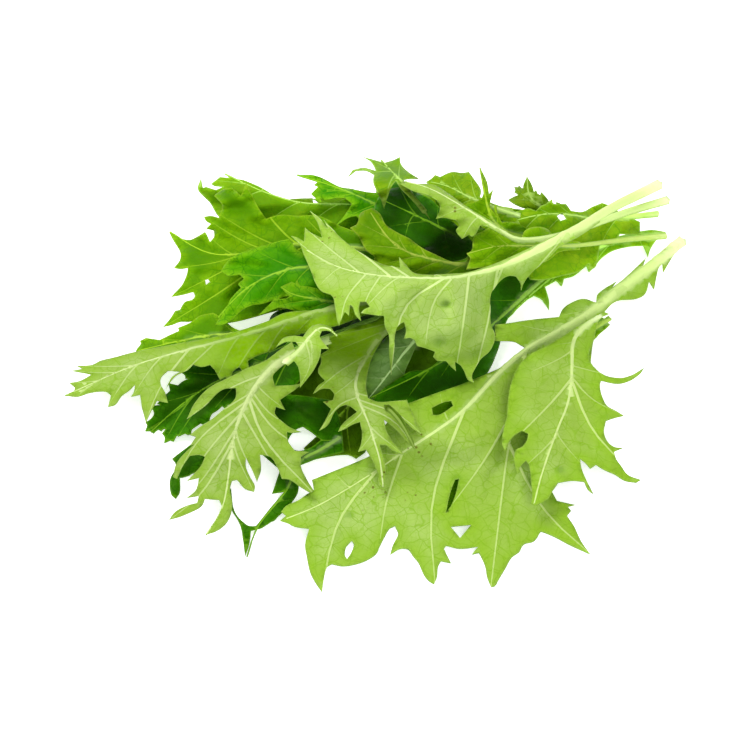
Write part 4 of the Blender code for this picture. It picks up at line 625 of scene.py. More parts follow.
def flat_mesh(leaf, cell, mains, branches):
    """Points of the leaf's shape as laid on the table, its triangles, and its rims.

    A rim's rows hold two on the table and the way passed along it.
    """
    loops = outer_loops([on_table(polygon) for polygon in leaf.polygons])
    loops.sort(key=lambda loop: -abs(area_of(loop)))
    holes = [loop for loop in loops[1:] if area_of(loop) < -LEAST_HOLE]
    holes += [on_table(hole) for hole in leaf.holes]
    loops = [curved(loop, cell * RIM_STEP) for loop in [loops[0]] + holes]
    edges = []
    rim = []
    first = 0
    for loop in loops:
        count = len(loop)
        edges += [(first + i, first + (i + 1) % count) for i in range(count)]
        steps = np.linalg.norm(np.diff(loop, axis=0), axis=1)
        rim.append(np.column_stack([loop, np.concatenate([[0.0], np.cumsum(steps)])]))
        first += count
    ring = np.concatenate(rim)
    spots = Spots()
    for point in ring:
        spots.add((point[0], point[1]), 0.0)
    groups = [(rows_along(mains[:1], cell * 0.8, (0.0, 0.4, 0.75, 1.0, 1.3)), 0.3),
              (rows_along(mains[1:], 1.0, (0.0, 1.3)), 0.28),
              (rows_along(branches, 1.0, (0.0,)), 0.3)]
    low, high = ring[:, :2].min(axis=0), ring[:, :2].max(axis=0)
    grid = []
    for row in range(int((high[1] - low[1]) / cell / ROW_STEP) + 1):
        shift = cell * 0.5 * (row % 2)
        for column in range(int((high[0] - low[0]) / cell) + 1):
            grid.append((low[0] + shift + column * cell, low[1] + row * cell * ROW_STEP))
    groups.append((np.array(grid), cell * POINT_GAP))
    for rows, gap in groups:
        for row in rows[inside(rows, loops)]:
            spots.add(tuple(row), gap)
    rows = np.array(spots.rows)
    made = delaunay_2d_cdt([tuple(row) for row in rows], edges, [], 0, 1e-6)
    if len(made[0]) != len(rows):
        raise ValueError(f"{leaf.name}: lines of the leaf cross ({len(made[0])} for {len(rows)} points)")
    triangles = np.array([tuple(face) for face in made[2]])
    keep = inside(rows[triangles].mean(axis=1), loops)
    return rows, triangles[keep], rim


def normals_of(points, triangles):
    """Unit normals at the points, from the triangles round each."""
    one = points[triangles[:, 1]] - points[triangles[:, 0]]
    two = points[triangles[:, 2]] - points[triangles[:, 0]]
    cross = np.cross(one, two)
    normals = np.zeros_like(points)
    for corner in range(3):
        np.add.at(normals, triangles[:, corner], cross)
    return normals / (np.linalg.norm(normals, axis=1)[:, None] + 1e-12)


def both_faces(flat, triangles, height, blade, bulk, bare, relief=0.0):
    """The leaf's upper and lower face, point for point."""
    middle = lifted(flat, height)
    normals = normals_of(middle, triangles)
    more = np.maximum(bulk - blade, 0.0)
    share = 0.5 * bare + RIDGE_SHARE * (1.0 - bare)
    upper = middle + normals * (blade / 2.0 + more * share + relief)[:, None]
    lower = middle - normals * (blade / 2.0 + more * (1.0 - share))[:, None]
    pressed = np.maximum(lower[:, 2] * GROUND_SHARE, 0.0)
    lower[:, 2] = np.where(lower[:, 2] < GROUND_BAND, pressed, lower[:, 2])
    upper[:, 2] = np.maximum(upper[:, 2], lower[:, 2] + THINNEST)
    return upper, lower


class HeightMap:
    """The highest leaf so far over each table point, along the line of sight."""

    def __init__(self):
        self.size = (2 * MAP_HALF / MAP_STEP).astype(int) + 1
        self.top = np.full(self.size, -np.inf)

    def cells(self, flat):
        """Place of table points on the map, in cells from its corner."""
        return (flat + MAP_HALF) / MAP_STEP

    def draw(self, points, triangles, sign):
        """Largest of sign x height of the surface in each cell it covers."""
        corners = points[triangles]
        sides = [corners[:, :2].mean(axis=1), corners[:, 1:].mean(axis=1)]
        spots = np.concatenate([points, corners.mean(axis=1), *sides])
        cell = np.rint(self.cells(seen_on_table(spots))).astype(int)
        drawn = np.full(self.size, -np.inf)
        np.maximum.at(drawn, (cell[:, 0], cell[:, 1]), spots[:, 2] * sign)
        return widened(drawn, 1)

    def sample(self, field, flat):
        """Values of a field of cells at table points, between the cells' own."""
        spot = self.cells(flat)
        low = np.floor(spot).astype(int)
        part = spot - low
        x, y = low[:, 0], low[:, 1]
        near = field[x, y] * (1 - part[:, 1]) + field[x, y + 1] * part[:, 1]
        far = field[x + 1, y] * (1 - part[:, 1]) + field[x + 1, y + 1] * part[:, 1]
        return near * (1 - part[:, 0]) + far * part[:, 0]


def widened(field, cells):
    """Each cell takes the largest value within this many cells of it."""
    for axis in (0, 1):
        best = field
        for shift in range(-cells, cells + 1):
            best = np.maximum(best, np.roll(field, shift, axis=axis))
        field = best
    return field


def softened(field, cells):
    """Each cell takes the mean of those within this many cells of it."""
    for axis in (0, 1):
        total = sum(np.roll(field, shift, axis=axis) for shift in range(-cells, cells + 1))
        field = total / (2 * cells + 1)
    return field


def lift_over(need):
    """A smooth lift that is nowhere less than what is needed."""
    half = LIFT_REACH // 2
    return softened(softened(widened(np.maximum(need, 0.0), LIFT_REACH), half), half)


def cups_of(leaf, flat):
    """Depth of the leaf's cups at each point in mm, and how far each point lies in a sunken cup, which sets
    the painted shade there.
    """
    depth = np.zeros(len(flat))
    cup_shade = np.zeros(len(flat))
    for across, down, reach, deep in CUPS.get(leaf.name, ()):
        middle = on_table([(across, down)])[0]
        near = np.exp(-(np.linalg.norm(flat - middle, axis=1) / (reach * GRID_STEP)) ** 2)
        depth += deep * near
        cup_shade = np.maximum(cup_shade, near * (deep > 0.0))
    return depth, cup_shade


def cleared(heap, flat, triangles, height, blade, bulk, bare):
    """The leaf's height once it clears those under it. The heap takes the leaf in."""
    for _ in range(MOST_LIFTS):
        upper, lower = both_faces(flat, triangles, height, blade, bulk, bare)
        under = -heap.draw(lower, triangles, -1.0)
        need = np.where(np.isfinite(under) & np.isfinite(heap.top), heap.top + LEAF_GAP - under, 0.0)
        if need.max() <= LIFT_ENOUGH:
            break
        height = height + heap.sample(lift_over(need), flat)
    heap.top = np.maximum(heap.top, heap.draw(upper, triangles, 1.0))
    return height


def build_leaf(leaf, heap, sizes):
    """The leaf as one closed mesh object that clears the leaves under it."""
    cell = COVERED_CELL if leaf.covered else sizes.cell
    mains = main_veins(leaf)
    field = VeinField(mains)
    branches = [] if leaf.covered else side_veins(mains, field, leaf.seed)
    flat, triangles, rim = flat_mesh(leaf, cell, mains, branches)
    rims = VeinField([np.column_stack([line, line[:, 2]]) for line in rim])
    from_rim, rim_run = rims.measure(flat)[:2]
    gap, half, clear, _ = field.measure(flat)
    marks = {"vein_gap": gap / half, "vein_clear": clear}
    round_vein = np.sqrt(np.clip(1.0 - (gap / half) ** 2, 0.0, 1.0))
    proud = np.minimum(PROUDEST_VEIN, half * VEIN_HEIGHT) * round_vein
    swell = np.exp(-gap / SWELL_REACH)
    if branches:
        gap, half, clear, _ = VeinField(branches).measure(flat)
        marks |= {"branch_gap": gap / half, "branch_clear": clear}
        proud = np.maximum(proud, PROUD_BRANCH * np.clip(BRANCH_EDGE - gap / half, 0.0, 1.0))
        swell = np.maximum(swell, BRANCH_SWELL * np.exp(-gap / BRANCH_SWELL_REACH))
    bulk, bare, run, part = leaf.bulk(flat)
    lowest = SOLID_BLADE / 2.0 + ARCH * np.clip(from_rim / ARCH_REACH, 0.0, 1.0)
    depth, cup_shade = cups_of(leaf, flat)
    height = np.maximum(leaf.height(flat, from_rim, rim_run, sizes.frill) - depth, lowest)
    solid_blade = np.where(from_rim < EDGE_REACH, SOLID_EDGE, SOLID_BLADE)
    height = cleared(heap, flat, triangles, height, solid_blade, bulk, bare)
    blade = sizes.blade * np.clip(0.5 + from_rim / EDGE_TAPER, 0.0, 1.0)
    facing = 1.0 if LOOKS[leaf.finish]["underside"] else -UPPER_RELIEF
    free = np.clip(from_rim / PUCKER_REACH, 0.0, 1.0) * (part > STALK_EDGE)
    height = height + sizes.pucker * facing * (swell - PUCKER_LEVEL) * free
    relief = sizes.vein * facing * proud * (part > 1.0)
    upper, lower = both_faces(flat, triangles, height, blade, bulk, bare, relief)
    stalk = np.maximum(bare, RIB_PALENESS * (1.0 - run))
    stalk = stalk * np.clip((STALK_EDGE - part) * STALK_SHARPNESS, 0.0, 1.0)
    start, end, upper_side = TURNS.get(leaf.name, NO_TURN)
    turned = np.clip((end - run) / (end - start), 0.0, 1.0)
    stalk_share = STALK_SHARES.get(leaf.name, 1.0)
    # Painted shade on bare parts that lie under other leaves: less pale stalk, fainter veins, darker tone.
    shaded_bare = bare * (1.0 - stalk_share)
    stalk = stalk * stalk_share * (1.0 - UPPER_STALK_LOSS * turned)
    marks["vein_clear"] = marks["vein_clear"] * (1.0 - shaded_bare) * (1.0 - UPPER_VEIN_LOSS * turned)
    # The tone carries painted light and shade besides the leaf's own brightness.
    tone = TONES.get(leaf.name, 1.0) * (1.0 + (upper_side - 1.0) * turned)
    marks["tone"] = tone * (1.0 - HIDDEN_SHADE * shaded_bare)
    marks |= {"rim": np.clip(from_rim / RIM_REACH, 0.0, 1.0), "along": run, "stalk": stalk, "turned": turned}
    # Painted shade in the sunken cups.
    marks["cup_shade"] = np.clip(cup_shade * CUP_SHADE_RAMP[0] - CUP_SHADE_RAMP[1], 0.0, 1.0)
    return leaf_object(leaf, upper, lower, triangles, marks)


def leaf_object(leaf, upper, lower, triangles, marks):
    """Mesh, attributes and material of a leaf, from its two faces and the wall round their rim."""
    count = len(upper)
    rim = np.array(rim_edges([tuple(face) for face in triangles.tolist()]))
    walls = np.concatenate([
        np.stack([rim[:, 1], rim[:, 0], rim[:, 0] + count], axis=1),
        np.stack([rim[:, 1], rim[:, 0] + count, rim[:, 1] + count], axis=1),
    ])
    faces = np.concatenate([triangles, triangles[:, ::-1] + count, walls])
    points = (np.concatenate([upper, lower]) - BOX_MIDDLE) * MM
    mesh = bpy.data.meshes.new(leaf.name + "_fine")
    mesh.from_pydata(points.tolist(), [], faces.tolist())
    for name, values in marks.items():
        layer = mesh.attributes.new(name, "FLOAT", "POINT")
        layer.data.foreach_set("value", np.concatenate([values, values]).astype(np.float32))
    layer = mesh.attributes.new("top_face", "FLOAT", "POINT")
    layer.data.foreach_set("value", np.concatenate([np.ones(count), np.zeros(count)]).astype(np.float32))
    mesh.shade_smooth()
    obj = bpy.data.objects.new(leaf.name + "_fine", mesh)
    bpy.context.scene.collection.objects.link(obj)
    mesh.materials.append(leaf_material(leaf.finish))
    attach(obj, "root")
    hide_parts(leaf.name)
    return obj


# Colours as seen, 0 to 255. A patch mottles the blade, the net is that of the finest veins, the inner colour
# is that of a turned leaf's upper side, and the back that of the side that looks down. Then the share of a
# pale stalk that shows, the reach of the margin's colour, the light that a blade lets through, and whether
# its underside looks up.
LOOKS = {
    "front": dict(
        blade=(176, 205, 108), patch=(158, 193, 74), margin=(142, 188, 24), vein=(216, 234, 152),
        net=(132, 178, 30), inner=(150, 192, 14), back=(84, 140, 24),
        stem=1.0, fringe=0.75, clear=0.35, underside=True),
    "pale": dict(
        blade=(184, 210, 120), patch=(166, 198, 88), margin=(148, 190, 38), vein=(224, 240, 168),
        net=(140, 184, 44), inner=(134, 184, 0), back=(98, 152, 30),
        stem=1.0, fringe=0.55, clear=0.35, underside=True),
    "mid": dict(
        blade=(138, 167, 24), patch=(88, 134, 4), margin=(122, 166, 10), vein=(172, 206, 96),
        net=(82, 134, 12), back=(130, 176, 60), stem=0.5, clear=0.35, underside=False),
    "fresh": dict(
        blade=(118, 166, 0), patch=(82, 138, 0), margin=(130, 182, 8), vein=(176, 210, 50),
        net=(80, 138, 0), back=(130, 176, 40), stem=0.3, clear=0.42, underside=False),
    "yellow": dict(
        blade=(132, 182, 8), patch=(104, 160, 2), margin=(150, 194, 20), vein=(196, 218, 84),
        net=(98, 154, 2), back=(140, 186, 50), stem=0.6, clear=0.42, underside=False),
    "bright": dict(
        blade=(94, 168, 0), patch=(46, 134, 0), margin=(142, 196, 20), vein=(150, 200, 40),
        net=(44, 124, 0), back=(110, 170, 30), stem=0.2, clear=0.38, underside=False),
    # Partly the leaves' own dark green, partly painted shade of the leaves deep in the heap.
    "dark": dict(
        blade=(40, 100, 0), patch=(22, 62, 0), margin=(54, 122, 0), vein=(110, 160, 30),
        net=(24, 76, 0), back=(80, 130, 30), stem=0.2, clear=0.2, underside=False),
    # Painted shade: the colour of a sheet that stands for the shade seen through the gaps under the middle
    # leaves.
    "olive": dict(
        blade=(42, 68, 0), patch=(28, 48, 0), margin=(58, 86, 2), vein=(86, 116, 22),
        net=(32, 54, 0), back=(70, 100, 22), stem=0.1, clear=0.15, underside=False),
    "grey": dict(
        blade=(104, 132, 76), patch=(72, 106, 36), margin=(64, 98, 14), vein=(152, 176, 118),
        net=(74, 104, 44), inner=(70, 100, 20), back=(80, 120, 40),
        stem=0.3, clear=0.2, underside=True),
}
FRINGE = 0.4  # reach of the margin's colour where a finish gives none, as a share of the rim attribute
STALK = (216, 234, 160)
STALK_END = (236, 246, 200)
SPECK = (92, 72, 8)

# Patterns of the tissue: cells or noise waves to the metre, and widths as shares of a cell.
NETS = ((170.0, 0.045), (390.0, 0.06))  # coarse and fine net of veins, and how wide their lines are
NET_WOBBLE = (0.004, 0.004, 0.004)  # m by which the net's cells are bent
WOBBLE_SCALE = 160.0
PATCH_SCALE = 32.0
MOTTLE_SCALE = 150.0
GRAIN_SCALE = 900.0
STREAK_SCALE = 700.0
STREAK_STRETCH = (0.3, 1.0, 1.0)
SPECK_SCALE = 430.0
SPECK_GROUP_SCALE = 55.0
WORN_SCALE = 210.0
WORN_HEIGHT = 3.0  # mm over the table
WORN_REACH = (0.011, 0.004)  # m from the worn spot's middle: no specks beyond, all of them within
RELIEF_DEPTH = 0.0004  # m
SKIN_TINT = (0.9, 1.0, 0.2, 1.0)
GRAIN_SHADE = 0.985  # brightness of the floor's grain next to its colour

# The stage, in metres.
FLOOR_DROP = 0.0003  # the floor's top below the leaves
FLOOR_ROUGHNESS = 0.8
LIGHT_TARGET = (0.0, 0.0, 0.02)
KEY_PLACE = (-0.45, 0.35, 1.1)
KEY_WIDTH = 0.8
FILL_PLACE = (0.35, -0.95, 0.85)
FILL_WIDTH = 0.9
SENSOR_WIDTH = 36.0  # mm


def linear(colour):
    """A colour as seen, turned into light."""
    parts = [part / 255.0 for part in colour]
    return tuple(p / 12.92 if p <= 0.04045 else ((p + 0.055) / 1.055) ** 2.4 for p in parts) + (1.0,)


class Nodes:
    """Short calls that add and link the nodes of one material."""

    def __init__(self, material):
        material.use_nodes = True
        self.tree = material.node_tree
        self.tree.nodes.clear()

    def add(self, kind, inputs=(), **settings):
        """A node with these settings, and with links or values on its inputs."""
        node = self.tree.nodes.new(kind)
        for name, value in settings.items():
            setattr(node, name, value)
        for socket, value in dict(inputs).items():
            if isinstance(value, bpy.types.NodeSocket):
                self.tree.links.new(value, node.inputs[socket])
            else:
                node.inputs[socket].default_value = value
        return node

    def math(self, operation, one, two=0.0, clamp=False):
        return self.add("ShaderNodeMath", {0: one, 1: two}, operation=operation, use_clamp=clamp).outputs[0]

    def vector(self, operation, one, two):
        return self.add("ShaderNodeVectorMath", {0: one, 1: two}, operation=operation).outputs[0]

    def times(self, one, two):
        return self.math("MULTIPLY", one, two)

    def less(self, one, two):
        return self.math("SUBTRACT", one, two)

    def mark(self, name):
        """An attribute of the mesh."""
        return self.add("ShaderNodeAttribute", attribute_name=name).outputs["Fac"]

    def line(self, gap, clear, reach):
        """Where a vein is: clear within its half width, gone at this many half widths."""
        near = self.ramp(self.mark(gap), reach, 0.7 * min(reach, 1.3))
        return self.times(near, self.mark(clear))

    def mix(self, share, one, two):
        node = self.add("ShaderNodeMix", {0: share, 6: one, 7: two}, data_type="RGBA")
        return node.outputs[2]

    def over(self, colour, where, share, layer):
        """The colour with a layer over it, at this share of what the mask says."""
        return self.mix(self.times(where, share), colour, layer)

    def noise(self, place, scale, detail=2.0, output="Fac"):
        inputs = {"Vector": place, "Scale": scale, "Detail": detail}
        return self.add("ShaderNodeTexNoise", inputs).outputs[output]

    def ramp(self, value, low, high):
        """0 up to the low value and 1 from the high one, smooth between them."""
        node = self.add("ShaderNodeMapRange", {"Value": value, "From Min": low, "From Max": high},
                        interpolation_type="SMOOTHSTEP")
        return node.outputs[0]


def specks(nodes, place):
    """Where the small brown specks of the tissue are: few, and most of them in loose groups."""
    cell = nodes.add("ShaderNodeTexVoronoi", {"Vector": place, "Scale": SPECK_SCALE})
    small = nodes.ramp(cell.outputs["Distance"], 0.3, 0.18)
    few = nodes.ramp(nodes.noise(place, SPECK_GROUP_SCALE, 1.0), 0.68, 0.72)
    middle = tuple((np.append(on_table([WORN_SPOT])[0], WORN_HEIGHT) - BOX_MIDDLE) * MM)
    away = nodes.add("ShaderNodeVectorMath", {0: place, 1: middle}, operation="DISTANCE").outputs["Value"]
    worn = nodes.times(nodes.ramp(away, *WORN_REACH), nodes.ramp(nodes.noise(place, WORN_SCALE), 0.46, 0.52))
    return nodes.times(nodes.times(small, nodes.math("MAXIMUM", few, worn)), 0.7)


def leaf_material(finish):
    """Leaf tissue: a mottled blade that light shines through, veins, a net of fine ones and a paler stalk."""
    name = finish + "_leaf_tissue"
    if name in bpy.data.materials:
        return bpy.data.materials[name]
    look = {key: linear(value) if isinstance(value, tuple) else value for key, value in LOOKS[finish].items()}
    look |= {"mottle": 0.25, "edge": 0.12} if look["underside"] else {"mottle": 0.6, "edge": 0.5}
    settings = bpy.context.scene.mizuna_looks
    material = bpy.data.materials.new(name)
    nodes = Nodes(material)
    place = nodes.add("ShaderNodeTexCoord").outputs["Object"]
    wobble = nodes.noise(place, WOBBLE_SCALE, 1.0, "Color")
    bent = nodes.vector("ADD", place, nodes.vector("MULTIPLY", wobble, NET_WOBBLE))
    nets = []
    for scale, width in NETS:
        inputs = {"Vector": bent, "Scale": scale}
        cell = nodes.add("ShaderNodeTexVoronoi", inputs, feature="DISTANCE_TO_EDGE")
        nets.append(nodes.less(1.0, nodes.ramp(cell.outputs["Distance"], 0.0, width)))
    rim, run, top = nodes.mark("rim"), nodes.mark("along"), nodes.mark("top_face")
    stalk = nodes.times(nodes.mark("stalk"), look["stem"])
    vein = nodes.line("vein_gap", "vein_clear", 1.3)
    branch = nodes.line("branch_gap", "branch_clear", 1.4)
    patches = nodes.ramp(nodes.noise(place, PATCH_SCALE, 3.0), 0.36, 0.66)
    fine = nodes.noise(place, GRAIN_SCALE)
    colour = nodes.mix(patches, look["blade"], look["patch"])
    mottles = nodes.ramp(nodes.noise(bent, MOTTLE_SCALE, 3.0), 0.4, 0.66)
    colour = nodes.over(colour, mottles, look["mottle"], look["patch"])
    towards_rim = nodes.less(1.0, nodes.ramp(rim, 0.0, look.get("fringe", FRINGE)))
    colour = nodes.over(colour, towards_rim, 0.7, look["margin"])
    if look["underside"]:
        colour = nodes.mix(nodes.mark("turned"), colour, look["inner"])
        # Painted shade: sunken cups darken towards the colour of the leaf's other side.
        colour = nodes.over(colour, nodes.mark("cup_shade"), 0.5, look["back"])
    colour = nodes.over(colour, nets[0], settings.net, look["net"])
    colour = nodes.over(colour, nets[1], settings.net * 0.5, look["net"])
    colour = nodes.over(colour, nodes.ramp(fine, 0.35, 0.75), 0.2, look["patch"])
    colour = nodes.over(colour, nodes.line("vein_gap", "vein_clear", 3.2), 0.45, look["net"])
    colour = nodes.mix(nodes.math("MULTIPLY", branch, 1.3, True), colour, look["net"])
    colour = nodes.over(colour, nodes.ramp(rim, 0.07, 0.0), look["edge"], look["vein"])
    colour = nodes.mix(vein, colour, look["vein"])
    if look["underside"]:
        colour = nodes.mix(specks(nodes, place), colour, linear(SPECK))
    stalk_colour = nodes.mix(nodes.ramp(run, 0.0, 0.1), linear(STALK_END), linear(STALK))
    streaks = nodes.noise(nodes.vector("MULTIPLY", place, STREAK_STRETCH), STREAK_SCALE)
    stalk_colour = nodes.over(stalk_colour, nodes.ramp(streaks, 0.4, 0.7), 0.3, look["vein"])
    colour = nodes.over(colour, stalk, settings.stalk_paleness, stalk_colour)
    lower = nodes.mix(nodes.math("MAXIMUM", vein, branch), look["back"], look["vein"])
    colour = nodes.mix(nodes.less(1.0, nodes.math("MAXIMUM", top, stalk)), colour, lower)
    # Scaled by the tone, which carries painted light and shade besides the leaf's own brightness.
    inputs = {0: colour, "Scale": nodes.mark("tone")}
    tone = nodes.add("ShaderNodeVectorMath", inputs, operation="SCALE").outputs[0]
    relief = nodes.math("ADD", nodes.times(nets[0], -0.35), nodes.times(nets[1], -0.15))
    relief = nodes.math("ADD", relief, nodes.times(fine, 0.35))
    inputs = {"Height": relief, "Strength": settings.bump, "Distance": RELIEF_DEPTH}
    bump = nodes.add("ShaderNodeBump", inputs).outputs[0]
    rough = nodes.math("ADD", nodes.times(fine, 0.16), settings.roughness)
    skin = nodes.add("ShaderNodeBsdfPrincipled", {"Base Color": tone, "Roughness": rough, "Normal": bump})
    skin.inputs["Specular IOR Level"].default_value = settings.gloss
    skin.inputs["Specular Tint"].default_value = SKIN_TINT
    inputs = {"Color": tone, "Hue": 0.49, "Saturation": 1.1, "Value": 1.1}
    through = nodes.add("ShaderNodeHueSaturation", inputs).outputs[0]
    glow = nodes.add("ShaderNodeBsdfTranslucent", {"Color": through, "Normal": bump})
    both = nodes.add("ShaderNodeMixShader", {0: look["clear"], 1: skin.outputs[0], 2: glow.outputs[0]})
    nodes.add("ShaderNodeOutputMaterial", {"Surface": both.outputs[0]})
    return material


def plain_material(name, colour, roughness, glow):
    """A matt surface with a faint grain, which gives off a little light of its own."""
    material = bpy.data.materials.new(name)
    nodes = Nodes(material)
    place = nodes.add("ShaderNodeTexCoord").outputs["Object"]
    grain = nodes.noise(place, 60.0)
    tone = nodes.mix(grain, colour, tuple(part * GRAIN_SHADE for part in colour[:3]) + (1.0,))
    skin = nodes.add("ShaderNodeBsdfPrincipled", {"Base Color": tone})
    skin.inputs["Roughness"].default_value = roughness
    skin.inputs["Emission Color"].default_value = colour
    skin.inputs["Emission Strength"].default_value = glow
    nodes.add("ShaderNodeOutputMaterial", {"Surface": skin.outputs[0]})
    return material


